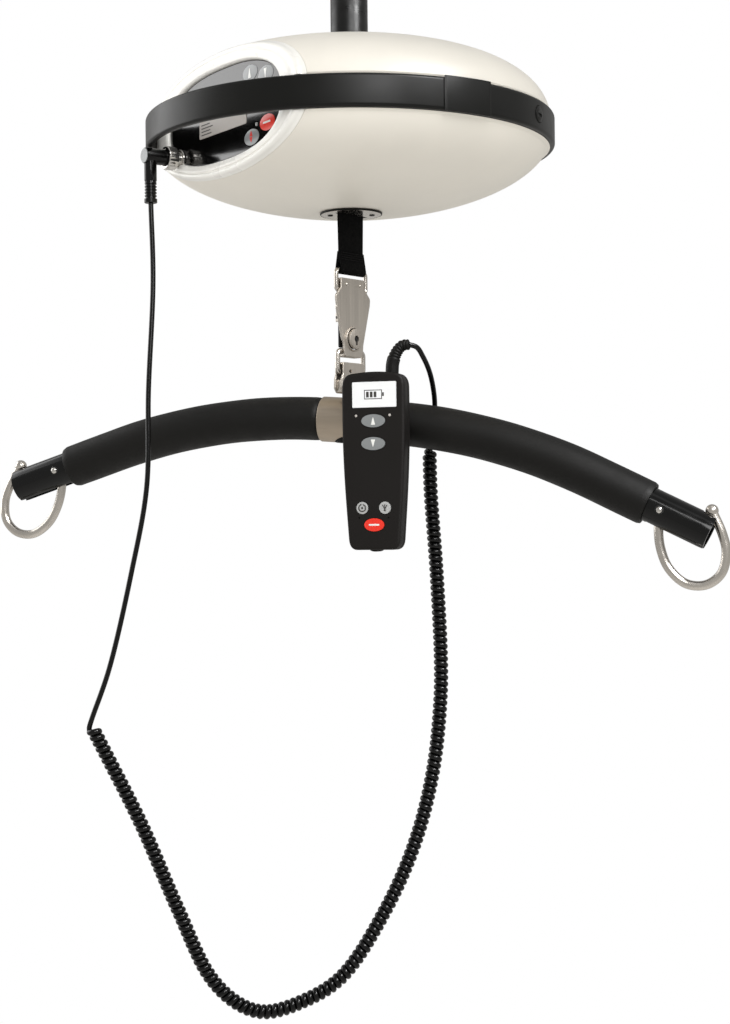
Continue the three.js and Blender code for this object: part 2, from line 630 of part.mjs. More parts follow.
function buildHandset(hoist) {
  const { s, front, t, z, wall } = HANDSET;
  const yawed = frame(hoist, { yaw: BAR_YAW, z });
  const hand = frame(yawed, { x: s, y: -front + t / 2 });
  const [face, back, seam] = [-t / 2, t / 2, 2];

  const pocket = plate(handsetOutline(wall), face + wall, seam + 1);
  const keyHoles = HAND_KEYS.map((k) => oval(k.a + GAP, k.b + GAP, k.x, k.z, face - 1, face + wall + 1));
  const windowHole = displayBlock(GAP, face - 1, 0);
  const frontShell = cut(solid(plate(handsetOutline(), face, seam)), pocket, ...keyHoles, windowHole);
  piece(hand, 'handset_front', frontShell, matteBlack);
  piece(hand, 'handset_display', displayBlock(0, face + 0.4, face + 1.8), displayWhite);
  const backPocket = plate(handsetOutline(wall), seam - 1, back - wall);
  piece(hand, 'handset_back', cut(solid(plate(handsetOutline(), seam + GAP, back)), backPocket), matteBlack);
  piece(hand, 'handset_board', block(-20, 20, 3.2, 4.8, -62, 62), boardGreen);
  for (const { name, a, b, x, z: height, look } of HAND_KEYS) {
    piece(hand, name, oval(a, b, x, height, face - 0.9, face + 2.2), look);
  }
  buildHandsetHook(hand, back + GAP);
  buildStrainRelief(hand);
}

// Hanger on the back of the hand control: an arm over the foam sleeve with a short rear lip.
function buildHandsetHook(hand, backFace) {
  const [centreY, centreZ, inner, outer] = [34.2, 35.6, 20.6, 23.3];
  const lip = radians(-15);
  const arm = new THREE.Shape();
  arm.moveTo(centreY + inner * Math.cos(lip), centreZ + inner * Math.sin(lip));
  arm.absarc(centreY, centreZ, inner, lip, Math.PI, false);
  arm.lineTo(centreY - inner, -8);
  arm.lineTo(backFace, -8);
  arm.lineTo(backFace, centreZ);
  arm.absarc(centreY, centreZ, outer, Math.PI, lip, true);
  piece(hand, 'handset_hanger', profileX(arm, -4, 13, 10), matteBlack);
}

const RELIEF = [[14, 0, 77.8], [14.3, 0, 86], [17.5, 0, 95], [23, 0, 100], [28, 0, 100]];

function buildStrainRelief(hand) {
  piece(hand, 'handset_strain_relief', pipe(spline(RELIEF), 5, 8, 5), matteBlack);
}

// ---------------------------------------------------------------- control cord
function buildCords(hoist) {
  const straight = spline([
    [-173.5, -31.2, -61.9], [-172, -33, -130], [-176, -40, -225], [-178, -43.5, -309],
    [-191.5, -44, -381], [-212, -42, -465], [-227.5, -40, -517.5],
  ]);
  piece(hoist, 'control_cord', pipe(straight, CORD_R, 20, 3), matteBlack);
  const coil = spline([
    [-227, -40, -519.5], [-186, -37, -598.5], [-156, -33, -671.5], [-128, -29, -733],
    [-104, -27, -756.5], [-82, -25, -764], [-52, -23, -757], [-16, -20, -736.5],
    [24.7, -16, -677], [51.6, -12, -617], [67.3, -7, -556.5], [74.2, -2, -497.4],
    [75.2, 2, -462.5], [72.3, 7, -383], [68, 10, -312], [67.4, 10, -275.7],
  ]);
  piece(hoist, 'coil_cord', pipe(coil, COIL_R, 40, 4), matteBlack);
  const lead = spline([
    [47.5, -50.3, -188.6], [56, -46, -192], [62, -34, -205], [68, -19, -221],
    [70.5, -4, -238], [70, 5, -253], [68, 9.5, -267], [67.4, 10, -275.2],
  ]);
  piece(hoist, 'handset_lead', pipe(lead, CORD_R, 14, 3), matteBlack);
}

// ---------------------------------------------------------------- assembly
const lift = new THREE.Group();
const hoist = frame(lift, { z: RING_Z });
buildHousing(hoist);
buildBumperRing(hoist);
buildControlPanel(hoist);
const drive = buildSuspension(hoist);
buildDrive(drive);
buildStrap(drive);
buildCoupler(drive);
buildHanger(drive);
buildBar(hoist);
buildHandset(hoist);
buildCords(hoist);

export default lift;
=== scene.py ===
"""Looks for the ceiling-mounted patient lift hoist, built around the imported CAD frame.

Shapes are written in millimetres in local frames (hoist, facet, drive, strap, coupler, bar, hand
control, bar ends) and are placed in the row frame in metres. The strap, coupler and hand control
frames sit 1 to 3 mm to one side of the CAD part's, as in the photograph.
"""
import math

import bmesh
import bpy
import numpy as np
from mathutils import Matrix, Vector


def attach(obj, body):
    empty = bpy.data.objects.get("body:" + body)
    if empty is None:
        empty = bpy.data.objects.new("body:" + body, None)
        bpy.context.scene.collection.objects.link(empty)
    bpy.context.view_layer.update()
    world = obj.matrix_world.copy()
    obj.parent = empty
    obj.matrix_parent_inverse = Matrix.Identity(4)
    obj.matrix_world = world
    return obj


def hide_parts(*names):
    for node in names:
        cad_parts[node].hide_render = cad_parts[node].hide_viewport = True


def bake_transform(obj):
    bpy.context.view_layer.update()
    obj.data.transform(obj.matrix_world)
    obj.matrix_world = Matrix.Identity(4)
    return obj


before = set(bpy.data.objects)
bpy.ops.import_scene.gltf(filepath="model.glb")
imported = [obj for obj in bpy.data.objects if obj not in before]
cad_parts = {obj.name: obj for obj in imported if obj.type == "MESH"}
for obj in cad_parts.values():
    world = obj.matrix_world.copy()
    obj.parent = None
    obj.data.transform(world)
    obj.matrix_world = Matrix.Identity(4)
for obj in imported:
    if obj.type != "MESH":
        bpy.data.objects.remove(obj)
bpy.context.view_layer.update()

# ------------------------------------------------------------ dimensions (mm, degrees)
RING_Z = -170.0
BODY_R, BODY_TOP, BODY_BOTTOM = 177.5, 73.0, 67.4
TOP_POWER, BOTTOM_POWER = 2.6, 2.0
WALL = 3.5
SEAM = 0.15
RING_R, RING_T, RING_H = 180.0, 6.0, 27.0
CHANNEL_R, CHANNEL_HALF = RING_R - RING_T - 0.4, RING_H / 2 + 0.4
CAP_YAW, COVER_START, COVER_SWEEP = 62.0, -65.0, 14.5
BOWL_HOLE = 24.0
FACET_YAW, FACET_DIST, BEZEL_BACK = -55.0, 133.0, 126.3
PANEL_A, PANEL_B, PANEL_Z, PANEL_POWER = 93.5, 39.0, 5.0, 2.5
PANEL_FRONT, PANEL_BACK = 129.5, 126.5
SOCKET_X, SOCKET_Z, SOCKET_HOLE = -74.0, -20.8, 6.8
LABEL_HALF_X, LABEL_HALF_Z = 38.5, 11.0
TUBE_R = 16.5
STRAP_YAW, STRAP_HALF, STRAP_T = 50.0, 17.5, 1.6
STRAP_SHIFT, COUPLER_SHIFT = -1.3, -3.0
UPPER_LINK = {"half": 19.8, "top": -118.3, "bottom": -137.0, "rod": 2.0}
LOWER_LINK = {"half": 17.2, "top": -189.5, "bottom": -208.5, "rod": 2.2}
BUTTON_Z = -179.0
LATCH_Y, LATCH_Z = 4.5, -160.0
SWIVEL_Z, BAR_YAW, BAR_ROLL, BAR_DROP = -222.0, -17.0, 4.5, 28.4
BAR_STRAIGHT, BAR_BEND, BAR_BEND_END, BAR_END, FOAM_END = 26.0, 520.0, 226.0, 332.7, 276.0
BAR_R, BAR_BORE, FOAM_R = 15.0, 12.0, 19.0
COLLAR_R, COLLAR_HALF = 20.0, 26.0
HOOK_PIN, HOOK_ROD, HOOK_BALL, HOOK_EYE, HOOK_SLOT = 45.0, 4.0, 5.5, 7.0, 4.7
HAND_X, HAND_FRONT, HAND_T, HAND_Z = 31.4, 44.5, 20.5, -288.4
CORD_R, COIL_R, COIL_PITCH, COIL_WIRE = 2.25, 6.5, 5.5, 2.7

# ------------------------------------------------------------ frames (local mm to row metres)


def turn(degrees, axis="Z"):
    return Matrix.Rotation(math.radians(degrees), 4, axis)


def shift(x=0.0, y=0.0, z=0.0):
    return Matrix.Translation((x, y, z))


HOIST = Matrix.Scale(0.001, 4) @ shift(z=RING_Z)
FACET = HOIST @ turn(FACET_YAW)
DRIVE = HOIST @ turn(STRAP_YAW)
STRAP = DRIVE @ shift(STRAP_SHIFT)
COUPLER = DRIVE @ shift(COUPLER_SHIFT)
PIVOT = HOIST @ shift(z=SWIVEL_Z) @ turn(BAR_YAW) @ turn(BAR_ROLL, "Y")
BAR = PIVOT @ shift(z=-BAR_DROP)
HAND = HOIST @ shift(z=HAND_Z) @ turn(BAR_YAW) @ shift(HAND_X, -HAND_FRONT + HAND_T / 2)
FACE, BACK = -HAND_T / 2, HAND_T / 2      # front and back of the hand control

END_SLOPE = (BAR_BEND_END - BAR_STRAIGHT) / BAR_BEND


def bar_point(s):
    """Centreline of the bar at signed arc length s, in the bar's frame."""
    along = abs(s)
    bend = (min(max(along, BAR_STRAIGHT), BAR_BEND_END) - BAR_STRAIGHT) / BAR_BEND
    rest = max(along - BAR_BEND_END, 0.0)
    x = min(along, BAR_STRAIGHT) + BAR_BEND * math.sin(bend) + rest * math.cos(bend)
    z = BAR_BEND * (math.cos(bend) - 1) - rest * math.sin(bend)
    return (math.copysign(x, s), 0.0, z)


def end_frame(side):
    """Frame at a tube end: x outward along the tube, z across it."""
    tip = bar_point(BAR_END)
    at_tip = shift(*tip) @ Matrix.Rotation(END_SLOPE, 4, "Y")
    return BAR @ (at_tip if side > 0 else turn(180) @ at_tip)


def on_row(points, place):
    """Local points in millimetres, as an array of row-frame points in metres."""
    p = np.asarray(points, float).reshape(-1, 3)
    m = np.array(place)
    return p @ m[:3, :3].T + m[:3, 3]


# ------------------------------------------------------------ materials


def linear(colour):
    """sRGB 0-255 to the linear values shaders use."""
    c = np.asarray(colour, float) / 255
    return tuple(np.where(c <= 0.04045, c / 12.92, ((c + 0.055) / 1.055) ** 2.4)) + (1.0,)


class Finish:
    """A procedural material: a Principled shader whose colour, roughness and bump come from nodes."""

    def __init__(self, name, colour, rough, metal=0.0, coat=0.0, sheen=0.0, specular=0.5):
        self.material = bpy.data.materials.new(name)
        self.material.use_nodes = True
        self.nodes = self.material.node_tree.nodes
        self.links = self.material.node_tree.links
        self.shader = self.nodes["Principled BSDF"]
        self.colour = linear(colour)
        self.set("Base Color", self.colour)
        self.set("Roughness", rough)
        self.set("Metallic", metal)
        self.set("Coat Weight", coat)
        self.set("Coat Roughness", 0.08)
        self.set("Sheen Weight", sheen)
        self.set("Specular IOR Level", specular)
        self.coords = self.nodes.new("ShaderNodeTexCoord")
        self.height = None

    def set(self, socket, value):
        self.shader.inputs[socket].default_value = value

    def link(self, a, b):
        self.links.new(a, b)

    def mapped(self, vector, socket, value):
        mapping = self.nodes.new("ShaderNodeMapping")
        mapping.inputs[socket].default_value = value
        self.link(vector, mapping.inputs["Vector"])
        return mapping.outputs["Vector"]

    def stretched(self, scale):
        return self.mapped(self.coords.outputs["Object"], "Scale", scale)

    def turned(self, degrees, scale):
        """Object coordinates turned about Z by minus degrees, then scaled."""
        spun = self.mapped(self.coords.outputs["Object"], "Rotation", (0, 0, math.radians(-degrees)))
        return self.mapped(spun, "Scale", scale)

    def noise(self, vector, detail=3.0):
        node = self.nodes.new("ShaderNodeTexNoise")
        node.inputs["Scale"].default_value = 1.0
        node.inputs["Detail"].default_value = detail
        self.link(vector, node.inputs["Vector"])
        return node.outputs["Fac"]

    def speckle(self, size, detail=3.0):
        """Noise that is as fine in every direction; a larger size is finer."""
        return self.noise(self.stretched((size, size, size)), detail)

    def wave(self, vector, direction):
        node = self.nodes.new("ShaderNodeTexWave")
        node.bands_direction = direction
        node.wave_profile = "SIN"
        node.inputs["Scale"].default_value = 1.0
        node.inputs["Distortion"].default_value = 0.0
        self.link(vector, node.inputs["Vector"])
        return node.outputs["Fac"]

    def remap(self, value, low, high):
        """A pattern's usual spread, 0.3 to 0.7, taken to low and high."""
        node = self.nodes.new("ShaderNodeMapRange")
        node.inputs["From Min"].default_value = 0.3
        node.inputs["From Max"].default_value = 0.7
        node.inputs["To Min"].default_value = low
        node.inputs["To Max"].default_value = high
        self.link(value, node.inputs["Value"])
        return node.outputs["Result"]

    def rough_from(self, value, low, high):
        self.link(self.remap(value, low, high), self.shader.inputs["Roughness"])

    def shade_from(self, value, low, high):
        """Base colour times a value between low and high."""
        node = self.nodes.new("ShaderNodeVectorMath")
        node.operation = "SCALE"
        node.inputs[0].default_value = self.colour[:3]
        self.link(self.remap(value, low, high), node.inputs["Scale"])
        self.link(node.outputs["Vector"], self.shader.inputs["Base Color"])

    def bump_from(self, value, depth, strength=1.0):
        """Adds a bump of depth metres; a second call stacks on the first."""
        node = self.nodes.new("ShaderNodeBump")
        node.inputs["Strength"].default_value = strength
        node.inputs["Distance"].default_value = depth
        self.link(value, node.inputs["Height"])
        if self.height is not None:
            self.link(self.height, node.inputs["Normal"])
        self.height = node.outputs["Normal"]
        self.link(self.height, self.shader.inputs["Normal"])


def moulded(name, colour, rough, grain=0.00002, coat=0.0, specular=0.5):
    """Moulded plastic: fine grain, and slight variation of gloss and shade."""
    f = Finish(name, colour, rough, coat=coat, specular=specular)
    f.bump_from(f.speckle(900), grain, 0.35)
    f.rough_from(f.speckle(25, 5), rough - 0.05, rough + 0.05)
    f.shade_from(f.speckle(12, 4), 0.97, 1.03)
    return f.material


def brushed(name, colour, rough, scale, yaw=0.0, depth=0.00003):
    """Brushed metal; scale is small along the brushing and large across it."""
    f = Finish(name, colour, rough, metal=1.0)
    fibres = f.noise(f.turned(yaw, scale), detail=6)
    f.bump_from(fibres, depth, 0.35)
    f.rough_from(fibres, rough - 0.08, rough + 0.1)
    f.shade_from(f.noise(f.turned(yaw, tuple(s * 0.5 for s in scale)), detail=5), 0.96, 1.04)
    return f.material


def webbing(name, colour):
    """Woven webbing: weft ribs across, warp cords along."""
    f = Finish(name, colour, 0.75, sheen=0.01, specular=0.06)
    weft = f.wave(f.stretched((1, 1, 340)), "Z")
    warp = f.wave(f.turned(STRAP_YAW, (190, 1, 1)), "X")
    f.bump_from(weft, 0.00025, 0.7)
    f.bump_from(warp, 0.00018, 0.5)
    f.shade_from(weft, 0.75, 1.35)
    f.rough_from(f.speckle(300), 0.68, 0.85)
    return f.material


def foam(name, colour):
    """Closed-cell foam sleeve: soft skin with very fine pores."""
    f = Finish(name, colour, 0.55, specular=0.24)
    f.bump_from(f.speckle(1500, 2), 0.00005, 0.5)
    f.bump_from(f.speckle(60, 4), 0.0003, 0.12)
    f.rough_from(f.speckle(90, 5), 0.48, 0.62)
    f.shade_from(f.speckle(20, 5), 0.85, 1.15)
    return f.material


def lacquer(name, colour, rough, metal=0.0, coat=0.0, specular=0.5):
    """Smooth glossy surface with faint handling marks."""
    f = Finish(name, colour, rough, metal=metal, coat=coat, specular=specular)
    f.rough_from(f.noise(f.stretched((40, 40, 160)), detail=6), rough * 0.8, rough * 1.35)
    f.bump_from(f.speckle(120, 1), 0.00001, 0.1)
    return f.material


def satin(name, colour, rough):
    """Drawn steel rod: even satin sheen with soft, shallow unevenness."""
    f = Finish(name, colour, rough, metal=1.0)
    f.rough_from(f.speckle(120, 2), rough - 0.05, rough + 0.06)
    f.bump_from(f.speckle(70, 1), 0.00001, 0.05)
    f.shade_from(f.speckle(45, 4), 0.94, 1.06)
    return f.material


LOOK = {
    "shell": moulded("shell_white", (240, 235, 224), 0.42, grain=0.00003),
    "bezel": moulded("bezel_white", (250, 248, 242), 0.3, grain=0.00001, coat=0.2),
    "ring": moulded("ring_black", (12, 12, 10), 0.36, grain=0.00003, specular=0.24),
    "panel": lacquer("panel_glass", (5, 5, 5), 0.12, coat=0.5),
    "label": moulded("label_grey", (196, 190, 184), 0.4),
    "print": moulded("print_dark", (60, 58, 56), 0.6),
    "gloss": lacquer("gloss_black", (7, 7, 7), 0.14, specular=0.3),
    "tube": lacquer("tube_black", (9, 9, 8), 0.34, specular=0.34),
    "matte": moulded("matte_black", (14, 13, 11), 0.5, grain=0.00004, specular=0.18),
    "cord": moulded("cord_black", (5, 5, 5), 0.2, grain=0.000005, specular=0.3),
    "handset": moulded("handset_black", (19, 16, 14), 0.56, grain=0.00006, specular=0.22),
    "webbing": webbing("webbing_black", (7, 7, 7)),
    "thread": moulded("thread_black", (17, 16, 15), 0.7, specular=0.2),
    "foam": foam("foam_black", (14, 13, 11)),
    "plate": brushed("brushed_steel", (190, 183, 174), 0.42, (700, 700, 14), STRAP_YAW),
    "collar": brushed("brushed_collar", (178, 165, 149), 0.4, (14, 700, 700), BAR_YAW),
    "rod": satin("satin_rod", (206, 200, 192), 0.23),
    "chrome": lacquer("chrome", (206, 203, 198), 0.12, metal=1.0),
    "key": moulded("grey_key", (133, 136, 137), 0.32, coat=0.25),
    "key_light": moulded("light_key", (176, 177, 176), 0.35, coat=0.2),
    "red": moulded("red_key", (236, 48, 28), 0.32, coat=0.2),
    "mark": moulded("mark_white", (238, 238, 234), 0.4),
    "mark_red": moulded("mark_red", (222, 42, 26), 0.4),
    # near-black painted shade: the depth of the release keyhole and the gap round the hook pins
    "dark": moulded("gap_painted_shade", (8, 8, 8), 0.7),
    "display": lacquer("display_white", (250, 251, 252), 0.08, coat=0.4),
    "zinc": brushed("zinc_plate", (186, 190, 192), 0.45, (200, 200, 200)),
    "board": moulded("board_green", (30, 90, 54), 0.5),
    "battery": moulded("battery_grey", (44, 52, 64), 0.45),
}

# ------------------------------------------------------------ shapes: (points, faces) pairs


def full_turn(count):
    """Equal steps of angle round a circle, in radians."""
    return np.arange(count) * 2 * math.pi / count


def merged(*shapes):
    points, faces, base = [], [], 0
    for p, f in shapes:
        points.append(p)
        faces += [tuple(i + base for i in face) for face in f]
        base += len(p)
    return np.vstack(points), faces


def moved(shape, matrix):
    return on_row(shape[0], matrix), shape[1]


def loft(rings, caps=True, closed=False):
    """Skin through closed rings of points; closed joins the last ring to the first."""
    rings = np.asarray(rings, float)
    rows, cols = rings.shape[:2]
    faces = []
    for i in range(rows if closed else rows - 1):
        n = (i + 1) % rows
        for j in range(cols):
            k = (j + 1) % cols
            faces.append((i * cols + j, i * cols + k, n * cols + k, n * cols + j))
    if caps and not closed:
        faces.append(tuple(range(cols))[::-1])
        faces.append(tuple((rows - 1) * cols + j for j in range(cols)))
    return rings.reshape(-1, 3), faces


def rounded(corners, steps=6):
    """Closed outline through (x, y, radius) corners, each rounded by an arc."""
    out = []
    count = len(corners)
    for i, (x, y, radius) in enumerate(corners):
        p = np.array([x, y], float)
        a = np.array(corners[i - 1][:2], float) - p
        b = np.array(corners[(i + 1) % count][:2], float) - p
        if radius <= 0:
            out.append(p)
            continue
        ua, ub = a / np.linalg.norm(a), b / np.linalg.norm(b)
        half = 0.5 * math.acos(np.clip(ua @ ub, -1, 1))
        reach = min(radius / math.tan(half), 0.49 * np.linalg.norm(a), 0.49 * np.linalg.norm(b))
        r = reach * math.tan(half)
        bisector = (ua + ub) / np.linalg.norm(ua + ub)
        centre = p + bisector * r / math.sin(half)
        from_centre = [p + ua * reach - centre, p + ub * reach - centre]
        a0, a1 = (math.atan2(v[1], v[0]) for v in from_centre)
        sweep = (a1 - a0 + math.pi) % (2 * math.pi) - math.pi
        for k in range(steps + 1):
            t = a0 + sweep * k / steps
            out.append(centre + r * np.array([math.cos(t), math.sin(t)]))
    return np.array(out)


def box_outline(x0, x1, z0, z1, corner, steps=6):
    return rounded([(x0, z0, corner), (x1, z0, corner), (x1, z1, corner), (x0, z1, corner)], steps)


def revolve(profile, sides=96, wobble=None):
    """A closed loop of (radius, height) points turned about Z; wobble(angle) scales radii."""
    profile = np.asarray(profile, float)
    rings = []
    for i in range(sides):
        t = 2 * math.pi * i / sides
        r = np.maximum(profile[:, 0], 0) * (wobble(t) if wobble else 1)
        rings.append(np.column_stack([r * math.cos(t), r * math.sin(t), profile[:, 1]]))
    return loft(rings, closed=True)


def solid_round(profile, sides=64):
    """Turned solid from an open list of (radius, height), closed by flat caps."""
    t = full_turn(sides)
    return loft([np.column_stack([r * np.cos(t), r * np.sin(t), np.full(sides, z)]) for r, z in profile])


def drum(radius, low, high, edge=0.5, sides=48):
    """Turned disc or rod along Z with rounded edges."""
    arc = [(math.sin(a), math.cos(a)) for a in np.linspace(0, math.pi / 2, 5)]
    start = [(radius - edge + edge * s, low + edge - edge * c) for s, c in arc]
    finish = [(r, high + low - z) for r, z in start[::-1]]
    return solid_round([(radius - edge - 0.2, low)] + start + finish + [(radius - edge - 0.2, high)], sides)


ALONG_Y = turn(-90, "X")     # takes +Z to +Y
ALONG_X = turn(90, "Y")      # takes +Z to +X


def drum_y(radius, low, high, edge=0.5, sides=48, at=(0, 0, 0)):
    """Turned disc or rod along Y, moved to a point."""
    return moved(drum(radius, low, high, edge, sides), shift(*at) @ ALONG_Y)


def inset(outline, distance):
    """Closed outline moved inward by distance along its corner normals."""
    before, after = np.roll(outline, 1, 0), np.roll(outline, -1, 0)
    tangent = after - before
    tangent /= np.linalg.norm(tangent, axis=1)[:, None]
    area = np.sum(outline[:, 0] * after[:, 1] - after[:, 0] * outline[:, 1])
    normal = np.column_stack([-tangent[:, 1], tangent[:, 0]]) * np.sign(area)
    return outline + normal * distance


def upright(line, y):
    """An XZ outline as 3-D points at y."""
    return np.column_stack([line[:, 0], np.full(len(line), y), line[:, 1]])


def skin(outline, levels):
    """Solid through an XZ outline, moved inward by depth at each (y, depth) level."""
    return loft([upright(inset(outline, depth), y) for y, depth in levels])


def slab(outline, y0, y1, edge=0.4, steps=3):
    """Plate with its outline in XZ, from y0 to y1, with rounded edges."""
    levels = [(y0, edge + min(0.2, edge))]
    arc = np.linspace(0, math.pi / 2, steps + 1)
    levels += [(y0 + edge * (1 - math.cos(a)), edge * (1 - math.sin(a))) for a in arc]
    levels += [(y1 - edge * (1 - math.cos(a)), edge * (1 - math.sin(a))) for a in arc[::-1]]
    levels.append((y1, edge + min(0.2, edge)))
    return skin(outline, levels)


def brick(x0, x1, y0, y1, z0, z1, corner=0.5, edge=0.3):
    return slab(box_outline(x0, x1, z0, z1, corner, 4), y0, y1, edge)


def ellipse(a, b, x=0.0, z=0.0, count=64, power=2.0):
    """Outline with half axes a and b; a power over 2 fills out its corners."""
    t = full_turn(count)
    c, s = np.cos(t), np.sin(t)
    px = a * np.sign(c) * np.abs(c) ** (2 / power)
    pz = b * np.sign(s) * np.abs(s) ** (2 / power)
    return np.column_stack([x + px, z + pz])


def spline(points, count, alpha=0.5):
    """Centripetal Catmull-Rom curve through the points, resampled to equal arc steps."""
    p = np.asarray(points, float)
    p = np.vstack([2 * p[0] - p[1], p, 2 * p[-1] - p[-2]])
    fine = []
    for i in range(1, len(p) - 2):
        quad = p[i - 1:i + 3]
        knots = np.concatenate([[0], np.cumsum(np.linalg.norm(np.diff(quad, axis=0), axis=1) ** alpha)])
        for t in np.linspace(knots[1], knots[2], 40, endpoint=False):
            a = [lerp(quad[k], quad[k + 1], knots[k], knots[k + 1], t) for k in range(3)]
            b = [lerp(a[k], a[k + 1], knots[k], knots[k + 2], t) for k in range(2)]
            fine.append(lerp(b[0], b[1], knots[1], knots[2], t))
    fine.append(p[-2])
    return resampled(np.array(fine), count)


def lerp(a, b, t0, t1, t):
    return a + (b - a) * ((t - t0) / (t1 - t0))


def resampled(line, count):
    s = arc_length(line)
    at = np.linspace(0, s[-1], count)
    return np.column_stack([np.interp(at, s, line[:, k]) for k in range(3)])


def arc_length(line):
    return np.concatenate([[0], np.cumsum(np.linalg.norm(np.diff(line, axis=0), axis=1))])


def carried_frames(line):
    """Tangent and two normals at each point of a line, carried along without twist."""
    tangent = np.gradient(line, axis=0)
    tangent /= np.linalg.norm(tangent, axis=1)[:, None]
    start = np.cross(tangent[0], [0.0, 1.0, 0.0])
    if np.linalg.norm(start) < 1e-6:
        start = np.cross(tangent[0], [1.0, 0.0, 0.0])
    normals = [start / np.linalg.norm(start)]
    for t in tangent[1:]:
        n = normals[-1] - t * (normals[-1] @ t)
        normals.append(n / np.linalg.norm(n))
    normals = np.array(normals)
    return tangent, normals, np.cross(tangent, normals)


def circle(centre, radius, t, u, v):
    """Points at angles t round a centre, in the plane of u and v."""
    return centre + radius * (np.outer(np.cos(t), u) + np.outer(np.sin(t), v))


def sweep(line, radius, sides=16, caps=True):
    """Round rod along a line; radius may be one number or one per point."""
    line = np.asarray(line, float)
    radii = np.broadcast_to(radius, len(line))
    _, n, b = carried_frames(line)
    t = full_turn(sides)
    return loft([circle(c, r, t, u, v) for c, r, u, v in zip(line, radii, n, b)], caps=caps)


def pipe(line, levels, sides):
    """Hollow rod through (radius, index on the line) levels that go out along it and back inside."""
    _, n, b = carried_frames(line)
    t = full_turn(sides)
    return loft([circle(line[k], r, t, n[k], b[k]) for r, k in levels], closed=True)


def dome_ends(line, radius, reach):
    """Radii along a line that round off its two ends over reach."""
    s = arc_length(line)
    near = np.minimum(s, s[-1] - s) / reach
    return radius * np.sqrt(1 - np.clip(1 - near, 0, 1) ** 2 * 0.999)


# ------------------------------------------------------------ pieces


def weld(mesh, distance, sharp=None):
    """Joins doubled points and turns faces outward; edges over sharp degrees are shaded hard."""
    work = bmesh.new()
    work.from_mesh(mesh)
    bmesh.ops.remove_doubles(work, verts=work.verts, dist=distance)
    bmesh.ops.recalc_face_normals(work, faces=work.faces)
    if sharp is not None:
        limit = math.radians(sharp)
        for face in work.faces:
            face.smooth = True
        for edge in work.edges:
            edge.smooth = len(edge.link_faces) == 2 and edge.calc_face_angle(0) < limit
    work.to_mesh(mesh)
    work.free()


def piece(name, shape, place, look, body=None, replaces=(), cuts=(), sharp=35):
    """One visible piece; cuts are shapes taken out of it."""
    obj = solid_object(name, moved(shape, place))
    for cutter_shape in cuts:
        cutter = solid_object(name + "_cutter", moved(cutter_shape, place))
        modifier = obj.modifiers.new("cut", "BOOLEAN")
        modifier.operation, modifier.solver, modifier.object = "DIFFERENCE", "EXACT", cutter
        graph = bpy.context.evaluated_depsgraph_get()
        mesh = bpy.data.meshes.new_from_object(obj.evaluated_get(graph))
        obj.modifiers.clear()
        obj.data = mesh
        bpy.data.objects.remove(cutter)
    weld(obj.data, 1e-7, sharp)
    obj.data.materials.clear()
    obj.data.materials.append(LOOK[look])
    if body:
        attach(obj, body)
    if replaces:
        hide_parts(*replaces)
    return obj


def solid_object(name, shape):
    mesh = bpy.data.meshes.new(name)
    mesh.from_pydata([tuple(p) for p in shape[0]], [], shape[1])
    weld(mesh, 1e-8)
    obj = bpy.data.objects.new(name, mesh)
    bpy.context.scene.collection.objects.link(obj)
    return obj


# ------------------------------------------------------------ housing


def bowl_arc(rim, height, power, r1, count):
    """Superellipse arc from the rim to radius r1, as (radius, height) points."""
    end = math.acos((r1 / rim) ** (power / 2))
    return [(rim * math.cos(t) ** (2 / power), height * math.sin(t) ** (2 / power))
            for t in np.linspace(0, end, count)]


def half_shell(height, power, hole, side, lip):
    """Shell half with the ring channel and a rounded lip at its opening."""
    outer = [(min(r, CHANNEL_R) if z < CHANNEL_HALF else r, max(z, SEAM))
             for r, z in bowl_arc(BODY_R, height, power, hole + lip, 70)]
    step = [(CHANNEL_R, CHANNEL_HALF), (CHANNEL_R + 2.0, CHANNEL_HALF)]
    below = [p for p in outer if p[1] < CHANNEL_HALF]
    above = [p for p in outer if p[1] >= CHANNEL_HALF]
    edge_z = above[-1][1]
    rim = [(hole + lip * (1 - math.sin(a)), edge_z - lip * (1 - math.cos(a)))
           for a in np.linspace(0, math.pi / 2, 6)]
    inner = bowl_arc(CHANNEL_R - WALL, height - WALL, power, hole, 24)
    inner = [(r, max(z, SEAM)) for r, z in inner][::-1]
    profile = below + step + above + rim + inner
    return [(r, side * z) for r, z in profile]


def beyond_facet():
    return brick(-260, 260, -330, -BEZEL_BACK + 0.3, -120, 120, 1, 0.2)


def build_shells():
    top = revolve(half_shell(BODY_TOP, TOP_POWER, TUBE_R + 0.7, 1, 1.5), 200)
    cutter = moved(beyond_facet(), turn(FACET_YAW))
    piece("housing_crown", top, HOIST, "shell", "hoist", ["upper_shell"], cuts=[cutter])
    bowl = revolve(half_shell(BODY_BOTTOM, BOTTOM_POWER, BOWL_HOLE, -1, 1.0), 200)
    piece("housing_bowl", bowl, HOIST, "shell", "hoist", ["lower_shell"], cuts=[cutter])


def furthest(inside):
    """Largest reach for which inside(reach) holds, by halving."""
    low, high = 0.0, 200.0
    for _ in range(40):
        mid = (low + high) / 2
        low, high = (mid, high) if inside(mid) else (low, mid)
    return low


def facet_reach(depth, angle):
    """Distance from the facet's centre to the housing surface at depth, at an angle."""
    c, s = math.cos(angle), math.sin(angle)
    height, power = (BODY_TOP, TOP_POWER) if s >= 0 else (BODY_BOTTOM, BOTTOM_POWER)

    def inside(reach):
        radius = math.hypot(depth, reach * c) / BODY_R
        return radius ** power + (abs(reach * s) / height) ** power < 1

    return furthest(inside)


def facet_curve(depth, count):
    angles = full_turn(count)
    reach = np.array([facet_reach(depth, a) for a in angles])
    return np.column_stack([reach * np.cos(angles), reach * np.sin(angles)])


